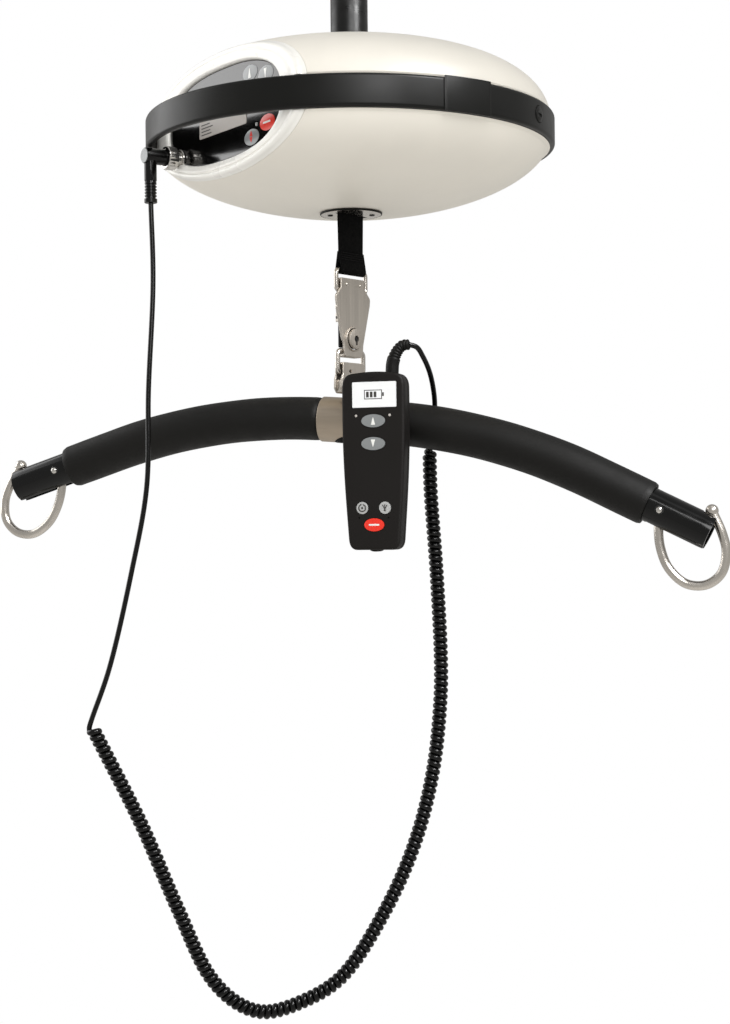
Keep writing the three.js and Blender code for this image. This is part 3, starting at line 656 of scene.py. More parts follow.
def panel_curve(angles, grow=0.0):
    """Panel outline seen from the facet's centre at the same angles as the bezel's rim."""
    out = []
    for a in angles:
        c, s = math.cos(a), math.sin(a)

        def inside(reach):
            u = abs(reach * c) / (PANEL_A + grow)
            v = abs(reach * s - PANEL_Z) / (PANEL_B + grow)
            return u ** PANEL_POWER + v ** PANEL_POWER < 1

        reach = furthest(inside)
        out.append((reach * c, reach * s))
    return np.array(out)


def build_bezel():
    count = 240
    angles = full_turn(count)
    levels = []
    edge, lip, drop = 4.0, 3.2, 3.0
    for depth in (BEZEL_BACK, 127.6, FACET_DIST - edge):
        levels.append((facet_curve(depth, count), depth))
    shoulder = levels[-1][0]
    for a in np.linspace(0.25, math.pi / 2, 6):
        line = inset(shoulder, edge * 0.8 * (1 - math.cos(a)))
        levels.append((line, FACET_DIST - edge * (1 - math.sin(a))))
    outer = levels[-1][0]
    inner = panel_curve(angles, lip)
    for u in np.linspace(0.08, 1.0, 12):
        groove = 0.9 * math.exp(-((u - 0.3) / 0.11) ** 2)
        crown = 0.5 * math.sin(math.pi * max(0.0, (u - 0.3) / 0.7))
        levels.append((outer + (inner - outer) * u, FACET_DIST - groove + crown))
    for a in np.linspace(0.3, math.pi / 2, 6):
        line = panel_curve(angles, lip * (1 - math.sin(a)))
        levels.append((line, FACET_DIST - drop * (1 - math.cos(a))))
    levels.append((panel_curve(angles), PANEL_BACK + 0.2))
    levels.append((panel_curve(angles), BEZEL_BACK))
    rings = [upright(line, -depth) for line, depth in levels]
    hole = drum_y(SOCKET_HOLE, 0, 60, at=(SOCKET_X, -160, SOCKET_Z))
    beyond = RING_R + 20
    channel = revolve([(CHANNEL_R, -CHANNEL_HALF), (beyond, -CHANNEL_HALF), (beyond, CHANNEL_HALF),
                       (CHANNEL_R, CHANNEL_HALF)], 240)
    piece("facet_bezel", loft(rings, closed=True), FACET, "bezel", "hoist", ["panel_bezel"],
          cuts=[hole, moved(channel, turn(-FACET_YAW))], sharp=55)


def build_ring():
    lo, hi, half = RING_R - RING_T, RING_R, RING_H / 2
    profile = rounded([(lo, -half, 1.2), (hi, -half, 3.4), (hi, half, 3.4), (lo, half, 1.2)], 8)
    seat = moved(drum(7.4, 0, 20), turn(CAP_YAW) @ shift(0, -RING_R - 10, 0) @ ALONG_Y)
    piece("bumper_band", revolve(profile, 240), HOIST, "ring", "hoist", ["bumper_ring"], cuts=[seat])
    cap = solid_round([(6.2, 0), (6.8, 0.4), (7.0, 1.0), (7.0, 6.6), (5, 6.6)], 48)
    slot_cut = brick(-4.2, 4.2, -1, 1, -2, 0.7, 0.4, 0.2)
    at_cap = HOIST @ turn(CAP_YAW) @ shift(0, -RING_R - 0.8, 0) @ ALONG_Y
    piece("band_cap", cap, at_cap, "ring", "hoist", ["ring_screw_cap"], cuts=[moved(slot_cut, turn(90, "X"))])
    build_ring_cover()


def build_ring_cover():
    """Thin curved cover over the joint of the bumper ring."""
    half = (RING_H + 1.5) / 2
    inner, outer = RING_R + 0.5, RING_R + 1.5
    rings = []
    for t in np.linspace(0, 1, 33):
        angle = math.radians(COVER_START) + math.radians(COVER_SWEEP) * t
        edge = inner + (outer - inner) * min(1.0, min(t, 1 - t) * 40 + 0.35)
        section = rounded([(inner, -half, 0.2), (edge, -half, 0.7), (edge, half, 0.7), (inner, half, 0.2)], 4)
        r, z = section[:, 0], section[:, 1]
        rings.append(np.column_stack([r * math.cos(angle), r * math.sin(angle), z]))
    piece("band_cover", loft(rings), HOIST, "ring", "hoist", ["ring_joint_cover"])


# ------------------------------------------------------------ control panel


PANEL_KEYS = {
    "panel_up_key": (43.0, 31.0, "key"),
    "panel_down_key": (67.5, 25.5, "key"),
    "panel_lowering_key": (44.5, -22.5, "key"),
    "panel_stop_key": (69.0, -14.5, "red"),
}
KEY_A, KEY_B, KEY_FRONT, KEY_BACK = 11.5, 6.6, 130.2, 127.0


def arrow(width, height, up=1):
    """Tall narrow triangle pointing up or down, centred on the origin."""
    return rounded([(-width / 2, -up * height / 2, 0.3), (width / 2, -up * height / 2, 0.3),
                    (0, up * height / 2, 0.25)], 3)


def key_cap(a, b, front, back):
    """Domed oval key, its face towards -Y."""
    rings = []
    for t in np.linspace(0, 1, 9):
        scale = math.sin(t * math.pi / 2) * 0.985 + 0.015
        rise = 0.55 * (1 - scale ** 2)
        line = ellipse(a * scale, b * scale)
        rings.append(upright(line, front + 0.45 - rise))
    line = ellipse(a, b)
    rings += [upright(line, front + 0.8), upright(line, back)]
    return loft(rings)


def build_panel():
    outline = ellipse(PANEL_A - 0.5, PANEL_B - 0.5, 0, PANEL_Z, 200, PANEL_POWER)
    holes = [slab(ellipse(KEY_A + 0.15, KEY_B + 0.15, x, z), -PANEL_FRONT - 2, -PANEL_BACK + 2, 0.1)
             for x, z, _ in PANEL_KEYS.values()]
    holes.append(drum_y(SOCKET_HOLE, 0, 20, at=(SOCKET_X, -140, SOCKET_Z)))
    piece("panel_foil", slab(outline, -PANEL_FRONT, -PANEL_BACK, 0.4), FACET, "panel", "hoist",
          ["control_panel"], cuts=holes)
    for name, (x, z, look) in PANEL_KEYS.items():
        at = FACET @ shift(x, 0, z)
        piece(name + "_cap", key_cap(KEY_A, KEY_B, -KEY_FRONT, -KEY_BACK), at, look, name, [name])
    build_panel_marks()
    label = box_outline(-LABEL_HALF_X, LABEL_HALF_X, -LABEL_HALF_Z, LABEL_HALF_Z, 1.2)
    at_label = FACET @ shift(-2, 0, 1.5)
    piece("panel_label", slab(label, -130.1, -129.45, 0.15), at_label, "label", "hoist")
    bars = [brick(-35, -35 + w, -130.2, -130.05, z, z + 0.9, 0.2, 0.05)
            for z, w in ((-8.6, 17), (-5.8, 15), (-3.0, 19), (-0.2, 14))]
    piece("panel_label_lines", merged(*bars), at_label, "print", "hoist")
    lamp = drum_y(1.6, 0, 1.2, 0.3, 24, (52.4, -130.1, -13.2))
    piece("panel_lamp", lamp, FACET, "key_light", "hoist")


def build_panel_marks():
    front = -KEY_FRONT - 0.22
    for name, up in (("panel_up_key", 1), ("panel_down_key", -1)):
        x, z, _ = PANEL_KEYS[name]
        piece(name + "_arrow", slab(arrow(4.4, 8.6, up), front, front + 0.5, 0.05), FACET @ shift(x, 0, z),
              "mark", name)
    x, z, _ = PANEL_KEYS["panel_lowering_key"]
    double = merged(
        slab(arrow(4.6, 4.6, -1) + [0, -2.2], front, front + 0.5, 0.05),
        slab(arrow(4.6, 4.6, 1) + [0, 3.0], front, front + 0.5, 0.05),
    )
    piece("panel_lowering_arrows", double, FACET @ shift(x, 0, z), "mark_red", "panel_lowering_key")
    x, z, _ = PANEL_KEYS["panel_stop_key"]
    bar = brick(-5.6, 5.6, front, front + 0.5, -0.8, 0.8, 0.5, 0.05)
    piece("panel_stop_bar", bar, FACET @ shift(x, 0, z), "mark", "panel_stop_key")


def build_socket_and_plug():
    at = FACET @ shift(SOCKET_X, 0, SOCKET_Z)
    nut_front, nut_back = -FACET_DIST - 13, -FACET_DIST - 3.5
    socket = drum_y(6.5, nut_back + 0.3, -PANEL_BACK + 2)
    collar = drum_y(8.6, -PANEL_FRONT - 2.6, -PANEL_FRONT - 0.1, 0.7)
    piece("socket_barrel", merged(socket, collar), at, "chrome", "hoist", ["control_socket"])
    profile = rounded([(7.3, nut_front, 0.4), (10, nut_front, 1.0),
                       (10, nut_back, 0.8), (7.3, nut_back, 0.4)], 5)
    knurl = revolve(profile, 120, lambda t: 1 + 0.022 * math.cos(14 * t))
    piece("plug_knurl", moved(knurl, ALONG_Y), at, "chrome", "plug_nut", ["plug_nut"])

    end = -FACET_DIST - 33.0
    elbow_y = -FACET_DIST - 27.0
    barrel = drum_y(6.9, end, nut_back - 0.5, 0.9)
    sleeve = moved(drum(5.4, -22, 0, 0.6), shift(0, elbow_y, 0))
    ribs = []
    for i in range(5):
        down = 2.7 * i
        ribs += [(5.2, -23.5 - down), (5.2, -24.6 - down), (4.3, -25.0 - down), (4.3, -25.8 - down)]
    boot = solid_round([(4.6, -21)] + ribs + [(4.5, -37), (5.6, -37.4), (5.6, -40.6), (5.0, -41), (2.0, -41)])
    body = merged(barrel, sleeve, moved(boot, shift(0, elbow_y, 0)))
    piece("plug_body", body, at, "cord", "hoist", ["control_plug"])
    piece("plug_end_disc", drum_y(6.3, end - 0.35, end + 0.4, 0.3), at, "key", "hoist")


# ------------------------------------------------------------ tube, outlet, strap


def build_tube():
    foot, top = 52.3, -RING_Z
    tube = solid_round([(TUBE_R - 1, foot), (TUBE_R, foot + 1), (TUBE_R, top - 1),
                        (TUBE_R - 0.3, top - 0.3), (TUBE_R - 1, top), (TUBE_R - 1.3, top)], 96)
    piece("hanging_tube", tube, HOIST, "tube", "hoist", ["suspension_tube"])
    seal = rounded([(TUBE_R + 0.1, 72.2, 0.2), (TUBE_R + 2.4, 72.0, 0.8), (TUBE_R + 0.1, 74.0, 0.5)], 4)
    piece("tube_seal", revolve(seal, 96), HOIST, "matte", "hoist")


def build_outlet():
    plate = solid_round([(23, -60), (23, -67.3), (26.4, -67.3), (27.0, -67.6), (27.0, -68.3),
                         (26.2, -68.8), (25, -68.8)], 96)
    slot_cut = brick(-STRAP_HALF - 1.3, STRAP_HALF + 1.3, -3, 3, -90, -50, 1, 0.6)
    piece("outlet_plate", plate, DRIVE, "rod", "hoist", ["strap_outlet"], cuts=[slot_cut])
    rim = rounded([(26.5, -68.9, 0.3), (27.5, -68.5, 0.3), (27.5, -67.2, 0.2), (26.5, -67.2, 0.2)], 3)
    lip = slab(box_outline(-19.4, 19.4, -3.6, 3.6, 2.5), -69.3, -67.5, 0.3)
    lip_cut = slab(box_outline(-18.2, 18.2, -2.6, 2.6, 1.5), -80, -60, 0.3)
    level = turn(90, "X") @ turn(180, "X")
    piece("outlet_rim", revolve(rim, 96), DRIVE, "matte", "hoist")
    piece("outlet_lip", moved(lip, level), DRIVE, "matte", "hoist", cuts=[moved(lip_cut, level)])
    screws = []
    for x, y in ((-12, 14), (12, 14), (-12, -14), (12, -14)):
        screws.append(moved(drum(2.4, -69.5, -68.4, 0.5, 24), shift(x, y, 0)))
    piece("outlet_screws", merged(*screws), DRIVE, "matte", "hoist")


def ribbon(levels, half_t):
    """Flat webbing through (z, half width) levels, with rounded selvedges."""
    z_all = np.array([z for z, _ in levels])
    w_all = np.array([w for _, w in levels])
    rings = []
    for z in np.linspace(z_all[0], z_all[-1], 90):
        w = np.interp(z, z_all[::-1], w_all[::-1])
        outline = box_outline(-w, w, -half_t, half_t, 0.7, 3)
        rings.append(np.column_stack([outline[:, 0], outline[:, 1], np.full(len(outline), z)]))
    return loft(rings)


def build_strap():
    top, rod = UPPER_LINK["top"], UPPER_LINK["rod"]
    upper = ribbon([(-8, 17.2), (-62, 17.1), (-74, 17.0), (-98, 16.4), (top + 6, 16.4)], STRAP_T / 2)
    obj = piece("strap_webbing", upper, STRAP, "webbing", None, ["lift_strap"])
    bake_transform(obj)
    # Loop round the link: front and back layers, sewn together above.
    path = [(0.75, top + 16), (1.5, top + 11), (2.3, top + 6)]
    radius = rod + 0.4 + STRAP_T / 2
    path += [(radius * math.cos(a), top + radius * math.sin(a))
             for a in np.linspace(0.35, -math.pi - 0.35, 20)]
    path += [(-2.3, top + 6), (-1.5, top + 11), (-0.8, top + 16)]
    rings = []
    for i, (y, z) in enumerate(path):
        before, after = path[max(i - 1, 0)], path[min(i + 1, len(path) - 1)]
        t = np.array([after[0] - before[0], after[1] - before[1]])
        n = np.array([-t[1], t[0]]) / np.linalg.norm(t) * STRAP_T / 2
        w = STRAP_HALF - 0.9 - max(0.0, z - top) * 0.015
        section = box_outline(-w, w, -1, 1, 0.35, 2)
        rings.append(np.column_stack([section[:, 0], y + n[0] * section[:, 1], z + n[1] * section[:, 1]]))
    piece("strap_loop", loft(rings), STRAP, "webbing", "strap_end")
    stitches = []
    for row in np.linspace(top + 9, top + 15, 4):
        front = -1.62 - STRAP_T / 2 - (top + 11 - row) * 0.155
        for x in np.linspace(-14.5, 14.5, 15):
            stitches.append(moved(sweep([(x - 0.75, 0, 0), (x, -0.3, 0.1), (x + 0.75, 0, 0)], 0.22, 6),
                                  shift(0, front, row)))
    piece("strap_stitches", merged(*stitches), STRAP, "thread", "strap_end")


# ------------------------------------------------------------ quick-release coupler


def rod_link(half, top, bottom, rod, corner=4.0):
    """Closed rectangle of round rod with rounded corners."""
    outline = box_outline(-half, half, bottom, top, corner, 10)
    line = []
    for a, b in zip(outline, np.roll(outline, -1, 0)):
        steps = max(1, int(np.linalg.norm(b - a) / 2))
        line += [a + (b - a) * k / steps for k in range(steps)]
    line = np.array([(x, 0, z) for x, z in line])
    tangent = np.roll(line, -1, 0) - np.roll(line, 1, 0)
    tangent /= np.linalg.norm(tangent, axis=1)[:, None]
    out = np.cross(tangent, [0, 1, 0])
    t = full_turn(20)
    return loft([circle(c, rod, t, n, [0, 1, 0]) for c, n in zip(line, out)], closed=True)


def both_sides(points):
    return [(x, z, r) for x, z, r in points] + [(-x, z, r) for x, z, r in points[::-1]]


def build_coupler():
    piece("upper_ring_link", rod_link(**UPPER_LINK), STRAP, "rod", "coupler", ["upper_link"])
    foot = LOWER_LINK["top"] - LOWER_LINK["rod"] - 0.3
    outline = rounded(both_sides([
        (16.0, -125.8, 1.8), (16.4, -134.5, 3.0), (23.4, -142.0, 4.0), (22.6, -148.5, 6.0),
        (13.2, -184.0, 8.0), (12.2, foot - 3.0, 1.8)]), 8)
    face = slab(outline, -4.2, -2.3, 0.6)
    fold = brick(-16.0, 16.0, -4.0, 4.2, -128.6, -125.8, 1.2, 0.8)
    back = slab(rounded(both_sides([(16.0, -126.4, 1.2), (16.0, -134.0, 3.0)])), 2.3, 4.2, 0.6)
    floor = brick(-10.5, 10.5, -3.2, 4.6, foot - 3.0, foot, 1.0, 0.8)
    lip = brick(-10.5, 10.5, 3.0, 4.8, foot - 3.0, foot + 4.5, 1.0, 0.7)
    lugs = [brick(x, x + 1.6, -2.8, 6.2, LATCH_Z - 4, LATCH_Z + 4, 0.8, 0.5) for x in (-12.6, 11.0)]
    button_hole = drum_y(9.4, -20, 2, 0.1, 64, (0, 0, BUTTON_Z))
    piece("coupler_sheet", face, COUPLER, "plate", "coupler", ["coupler_plate"], cuts=[button_hole])
    piece("coupler_folds", merged(fold, back, floor, lip, *lugs), COUPLER, "plate", "coupler")
    flanges = []
    for side in (-1, 1):
        top_x, low_x = side * 22.3, side * 13.4
        line = spline([(top_x - side * 0.6, -2.6, -149.5), (side * 17.2, -2.4, -166),
                       (low_x - side * 0.2, -2.6, -182)], 24)
        flanges.append(sweep(line, dome_ends(line, 1.2, 3), 12))
    piece("coupler_flanges", merged(*flanges), COUPLER, "rod", "coupler")
    rivets = [moved(solid_round([(1.6, 0), (1.55, -0.35), (1.2, -0.75), (0.5, -0.95)], 24),
                    shift(x, -4.15, -131.2) @ turn(180) @ ALONG_Y @ Matrix.Scale(-1, 4, (0, 0, 1)))
              for x in (-8.5, 9.5)]
    piece("coupler_rivets", merged(*rivets), COUPLER, "rod", "coupler")
    build_release()
    blade = brick(-10.4, 10.4, 3, 5.4, -186.4, LATCH_Z + 2, 1.2, 0.6)
    pin = moved(drum(1.4, -12.8, 12.8, 0.3, 24), shift(0, LATCH_Y, LATCH_Z) @ ALONG_X)
    piece("latch_blade", merged(blade, pin), COUPLER, "cord", "latch_tongue", ["latch_tongue"])


def build_release():
    """Release button with its keyway, and the seat round it."""
    at = COUPLER @ shift(0, 0, BUTTON_Z)
    cap = solid_round([(8.1, -7.6), (8.6, -7.4), (8.9, -6.9), (8.9, -5.7), (8.7, -5.5), (8.0, -5.5),
                       (8.0, -4.5), (7.8, -4.3)], 64)
    dish = drum_y(2.9, -9, -6.0, 0.3, 32)
    keyway = brick(-1.2, 1.2, -9.0, -6.0, -5.6, 0, 0.5, 0.2)
    piece("release_disc", moved(cap, ALONG_Y), at, "plate", "release_button", ["release_button"],
          cuts=[dish, keyway])
    piece("release_stem", drum_y(3.0, -5.0, 2.2, 0.4, 32), at, "rod", "release_button")
    # A dark disc and slot just above the floor of the keyway: painted shade standing in for the depth of the
    # keyhole.
    keyhole_painted_shade = merged(drum_y(2.75, -6.35, -6.1, 0.05, 32),
                     brick(-1.05, 1.05, -6.35, -6.1, -5.4, 0, 0.4, 0.05))
    piece("release_keyhole_painted_shade", keyhole_painted_shade, at, "dark", "release_button")
    seat = revolve(rounded([(9.5, -5.2, 0.3), (10.6, -5.2, 0.5), (11.1, -4.0, 0.2), (9.5, -4.0, 0.2)], 4), 64)
    piece("release_seat", moved(seat, ALONG_Y), at, "plate", "coupler")


def build_hanger():
    piece("lower_ring_link", rod_link(**LOWER_LINK), COUPLER, "rod", "hanger", ["lower_link"])
    neck, neck_x = 14.8, -3.6
    outline = rounded([
        (neck_x + neck, -200.0, 1.2), (neck_x + neck, -209.0, 3.0), (20.2, -214.6, 4.0), (20.6, -222.5, 4.0),
        (17.6, -227.0, 2.5), (-17.6, -227.0, 2.5), (-20.6, -222.5, 4.0), (-20.2, -214.6, 2.0),
        (neck_x - neck, -210.0, 2.0), (neck_x - neck, -200.0, 1.2)], 6)
    top = brick(neck_x - neck + 0.4, neck_x + neck - 0.4, -4.8, 4.8, -202.6, -200, 1.2, 0.9)
    block = brick(-18.0, 18.0, -4.7, 4.7, -226.9, -215, 1.5, 0.6)
    bolt_hole = drum(4.9, -240, -205, 0.1, 40)
    small_hole = drum_y(1.7, -10, -2, 0.1, 24, (-9.0, 0, -207.6))
    piece("swivel_hanger", slab(outline, -5.0, -3.0, 0.7), DRIVE, "plate", "hanger", ["swivel_plate"],
          cuts=[small_hole])
    piece("swivel_hanger_back", slab(outline, 3.0, 5.0, 0.7), DRIVE, "plate", "hanger")
    piece("swivel_block", block, DRIVE, "plate", "hanger", cuts=[bolt_hole])
    piece("swivel_fold", top, DRIVE, "plate", "hanger")
    shank = drum(4.0, 7, BAR_DROP + 4, 0.5, 40)
    head = solid_round([(7.0, 2), (8, 2.6), (8, 7.4), (7.4, 8), (4, 8)], 6)
    piece("swivel_stud", merged(shank, head), BAR, "rod", "hanger", ["swivel_bolt"])


# ------------------------------------------------------------ spreader bar


def bar_line(from_s, to_s, count):
    return np.array([bar_point(s) for s in np.linspace(from_s, to_s, count)])


def end_cut(shape, side):
    """A shape built in an end's frame, given in the bar's own frame."""
    return moved(shape, BAR.inverted() @ end_frame(side))


def build_bar():
    line = bar_line(-BAR_END, BAR_END, 162)
    last = len(line) - 1
    outer = [(BAR_R - 0.9, 0), (BAR_R - 0.25, 0)] + [(BAR_R, k) for k in range(1, last)]
    outer += [(BAR_R - 0.25, last), (BAR_R - 0.9, last)]
    inner = [(BAR_BORE, k) for k in range(last, -1, -3)] + [(BAR_BORE, 0)]
    cuts = []
    for side in (1, -1):
        low = brick(-HOOK_PIN - 8, 3, -HOOK_SLOT, HOOK_SLOT, -BAR_R - 3, 0, 2.0, 0.1)
        high = brick(-13, 3, -HOOK_SLOT, HOOK_SLOT, -1, BAR_R + 3, 2.0, 0.1)
        cuts += [end_cut(low, side), end_cut(high, side)]
    piece("spreader_tube", pipe(line, outer + inner, 48), BAR, "gloss", "spreader_bar", ["bar_tube"],
          cuts=cuts, sharp=30)
    build_collar()
    build_foam()
    for side, name in ((-1, "left"), (1, "right")):
        build_hook(side, name)


def build_collar():
    profile = rounded([(BAR_R + 0.5, -COLLAR_HALF, 0.3), (COLLAR_R, -COLLAR_HALF, 1.0),
                       (COLLAR_R, COLLAR_HALF, 1.0), (BAR_R + 0.5, COLLAR_HALF, 0.3)], 5)
    holes = [drum(4.8, 5, 40, 0.1, 40), drum(13.0, -40, -5, 0.1, 64)]
    piece("centre_collar", moved(revolve(profile, 128), ALONG_X), BAR, "collar", "spreader_bar",
          ["bar_collar"], cuts=holes)
    plug = solid_round([(11.5, -20.3), (12.4, -19.9), (12.6, -19.2), (12.6, -15.5), (11, -15.5)], 64)
    piece("collar_access_plug", plug, BAR, "matte", "spreader_bar", ["collar_plug"])


def build_foam():
    start = COLLAR_HALF + 0.4
    for name, side in (("foam_sleeve_left", -1), ("foam_sleeve_right", 1)):
        line = bar_line(side * start, side * FOAM_END, 90)
        s = arc_length(line)
        near = np.clip(s / 4.0, 0, 1)
        far = np.clip((s[-1] - s) / 2.5, 0, 1)
        ends = 1 - 0.10 * (1 - near) ** 2.2 - 0.05 * (1 - far) ** 2.0
        uneven = 1 + 0.004 * np.sin(s / 23.0) + 0.003 * np.sin(s / 9.0 + 1.3)
        radii = (FOAM_R + 0.1) * ends * uneven
        last = len(line) - 1
        levels = [(radii[0] - 1.2, 0)] + list(zip(radii, range(last + 1))) + [(radii[-1] - 1.2, last)]
        levels += [(BAR_R + 0.5, k) for k in range(last, -1, -4)] + [(BAR_R + 0.5, 0)]
        piece(name + "_skin", pipe(line, levels, 64), BAR, "foam", "spreader_bar", [name], sharp=50)


HOOK_PATH = [(-44, -3), (-40.5, -15), (-31.5, -29.5), (-18, -41.5), (0.5, -46.5), (15.5, -40),
             (22.6, -26), (18.5, -8), (8.8, 4.3), (-6, 17)]


def build_hook(side, name):
    line = spline([(x, 0, z) for x, z in HOOK_PATH], 90)
    rod = sweep(line, HOOK_ROD, 24)
    ball = [(HOOK_BALL * math.cos(a), HOOK_BALL * math.sin(a))
            for a in np.linspace(-math.pi / 2 + 0.05, math.pi / 2 - 0.05, 17)]
    ball = moved(solid_round(ball, 32), shift(-7, 0, 17.7))
    at_pin = (-HOOK_PIN, 0, 0)
    eye = drum_y(HOOK_EYE, -3.8, 3.8, 0.7, 40, at_pin)
    place = end_frame(side)
    piece(f"sling_hook_{name}_rod", merged(rod, ball, eye), place, "rod", f"sling_hook_{name}",
          [f"sling_hook_{name}"])
    pin = drum_y(2.6, -15.5, 15.5, 0.3, 24, at_pin)
    dome = solid_round([(0.4, 0), (1.6, 0.25), (2.4, 0.75), (2.9, 1.5), (2.9, 2.4)], 32)
    heads = [moved(dome, shift(-HOOK_PIN, end * 17.0, 0) @ turn(90 * end, "X")) for end in (-1, 1)]
    piece(f"hook_pin_{name}_rivet", merged(pin, *heads), place, "chrome", "spreader_bar",
          [f"hook_pin_{name}"])
    # Dark rings round the pin heads on the tube: painted shade in the gap round each pin.
    pin_shade_rings = [drum_y(3.9, a, b, 0.2, 40, at_pin) for a, b in ((-15.08, -14.2), (14.2, 15.08))]
    piece(f"hook_pin_{name}_seats", merged(*pin_shade_rings), place, "dark", "spreader_bar")


# ------------------------------------------------------------ hand control


HAND_KEYS = {
    "handset_up_key": (0.4, 34.5, 10.6, 5.6, "key"),
    "handset_down_key": (0.2, 15.0, 10.6, 5.6, "key"),
    "handset_light_key": (-10.1, -40.0, 5.2, 5.2, "key_light"),
    "handset_return_key": (10.1, -40.0, 5.2, 5.2, "key_light"),
    "handset_stop_key": (0.4, -54.5, 8.9, 5.6, "red"),
}
DISPLAY_X, DISPLAY_HALF, DISPLAY_Z, DISPLAY_TALL = 1.3, 19.7, 57.0, 22.0


def bezier(points, steps=14):
    p = [np.array(q, float) for q in points]
    out = []
    for t in np.linspace(0, 1, steps, endpoint=False):
        q = p
        while len(q) > 1:
            q = [a + (b - a) * t for a, b in zip(q, q[1:])]
        out.append(q[0])
    return out


def hand_outline():
    wide, low, top, base = 27.9, 22.2, 75.5, -76.0
    right = bezier([(low - 7, base), (low, base), (low + 0.8, base + 9)], 10)
    right += bezier([(low + 0.8, base + 9), (low + 3, -35), (wide, -5), (wide, 40)], 40)
    right += bezier([(wide, 40), (wide, 52), (wide - 0.1, 64)], 10)
    right += bezier([(wide - 0.1, 64), (wide - 0.6, top - 0.6), (wide - 9.5, top)], 24)
    right += bezier([(wide - 9.5, top), (0, top + 2.5), (-wide + 9.5, top)], 24)[:12]
    right.append(np.array([0.0, top + 1.25]))
    left = [np.array([-x, z]) for x, z in right[::-1][1:]]
    base_line = [np.array([x, base]) for x in np.linspace(-low + 7, low - 7, 12)[1:-1]]
    return np.array(right + left + base_line)


def build_handset():
    outline = hand_outline()
    seam, edge, back_edge = 2.0, 2.6, 3.4
    arc = np.linspace(0, math.pi / 2, 8)
    front_levels = [(FACE, edge + 0.6)]
    front_levels += [(FACE + edge * 0.8 * (1 - math.cos(a)), edge * (1 - math.sin(a))) for a in arc]
    front_levels += [(seam - 0.5, 0.0), (seam, 0.35), (seam, 2.0)]
    holes = [slab(ellipse(a + 0.35, b + 0.35, x, z), FACE - 2, FACE + 3.6, 0.1)
             for x, z, a, b, _ in HAND_KEYS.values()]
    holes.append(slab(display_outline(0.3), FACE - 2, FACE + 1.9, 0.1))
    holes += [drum_y(0.75, -2, 1.2, 0.1, 20, (x, FACE, -48.5)) for x in (-13, 13)]
    holes += [drum_y(0.5, -2, 0.8, 0.1, 16, (x, FACE, 71.3)) for x in (-2, 0, 2)]
    piece("handset_face_shell", skin(outline, front_levels), HAND, "handset", "handset",
          ["handset_front"], cuts=holes, sharp=40)
    back_levels = [(seam + 0.3, 2.0), (seam + 0.3, 0.35), (seam + 0.8, 0.0)]
    back_levels += [(BACK - back_edge * (1 - math.cos(a)), back_edge * (1 - math.sin(a)))
                    for a in arc[::-1]]
    back_levels += [(BACK, 4.0)]
    piece("handset_rear_shell", skin(outline, back_levels), HAND, "handset", "handset",
          ["handset_back"], sharp=40)
    build_hand_face()
    build_hand_back()


def display_outline(grow=0.0):
    left, right = DISPLAY_X - DISPLAY_HALF - grow, DISPLAY_X + DISPLAY_HALF + grow
    low, high = DISPLAY_Z - DISPLAY_TALL / 2 - grow, DISPLAY_Z + DISPLAY_TALL / 2 + grow
    return box_outline(left, right, low, high, 0.9)


def build_hand_face():
    piece("handset_pane", slab(display_outline(), FACE + 0.25, FACE + 1.8, 0.15), HAND, "display", "handset",
          ["handset_display"])
    # Generic charge symbol: an outlined cell with bars.
    glyph_y = (FACE + 0.18, FACE + 0.32)
    frame_bars = [(-9, 7, 60.4, 61.1), (-9, 7, 53.0, 53.7), (-9, -8.3, 53.0, 61.1), (6.3, 7, 53.0, 61.1),
                  (7.2, 8.6, 55.4, 58.7)]
    cells = [(-7.2 + 3.4 * i, -4.8 + 3.4 * i, 54.6, 59.5) for i in range(3)]
    symbol = [brick(x0, x1, *glyph_y, z0, z1, 0.1, 0.03) for x0, x1, z0, z1 in frame_bars + cells]
    piece("handset_charge_symbol", merged(*symbol), HAND @ shift(DISPLAY_X), "print", "handset")
    for name, (x, z, a, b, look) in HAND_KEYS.items():
        cap = key_cap(a, b, FACE - 0.9, FACE + 2.2)
        piece(name + "_cap", cap, HAND @ shift(x, 0, z), look, name, [name])
    mark_y = FACE - 0.9 - 0.2
    for name, up in (("handset_up_key", 1), ("handset_down_key", -1)):
        x, z = HAND_KEYS[name][:2]
        piece(name + "_arrow", slab(arrow(3.9, 7.0, up), mark_y, mark_y + 0.4, 0.05),
              HAND @ shift(x, 0, z), "mark", name)
    bar = brick(-4.6, 4.6, mark_y, mark_y + 0.4, -0.75, 0.75, 0.4, 0.05)
    x, z = HAND_KEYS["handset_stop_key"][:2]
    piece("handset_stop_bar", bar, HAND @ shift(x, 0, z), "mark", "handset_stop_key")
    build_round_key_marks(mark_y)
    lamps = [drum_y(1.15, 0, 0.9, 0.35, 24, (x, FACE - 0.25, 39.1)) for x in (-15, 15)]
    piece("handset_lamps", merged(*lamps), HAND, "label", "handset")
    nub = slab(ellipse(5.0, 1.6, 0, -75.9), FACE + 4, FACE + 13, 0.6)
    piece("handset_end_nub", nub, HAND, "handset", "handset")


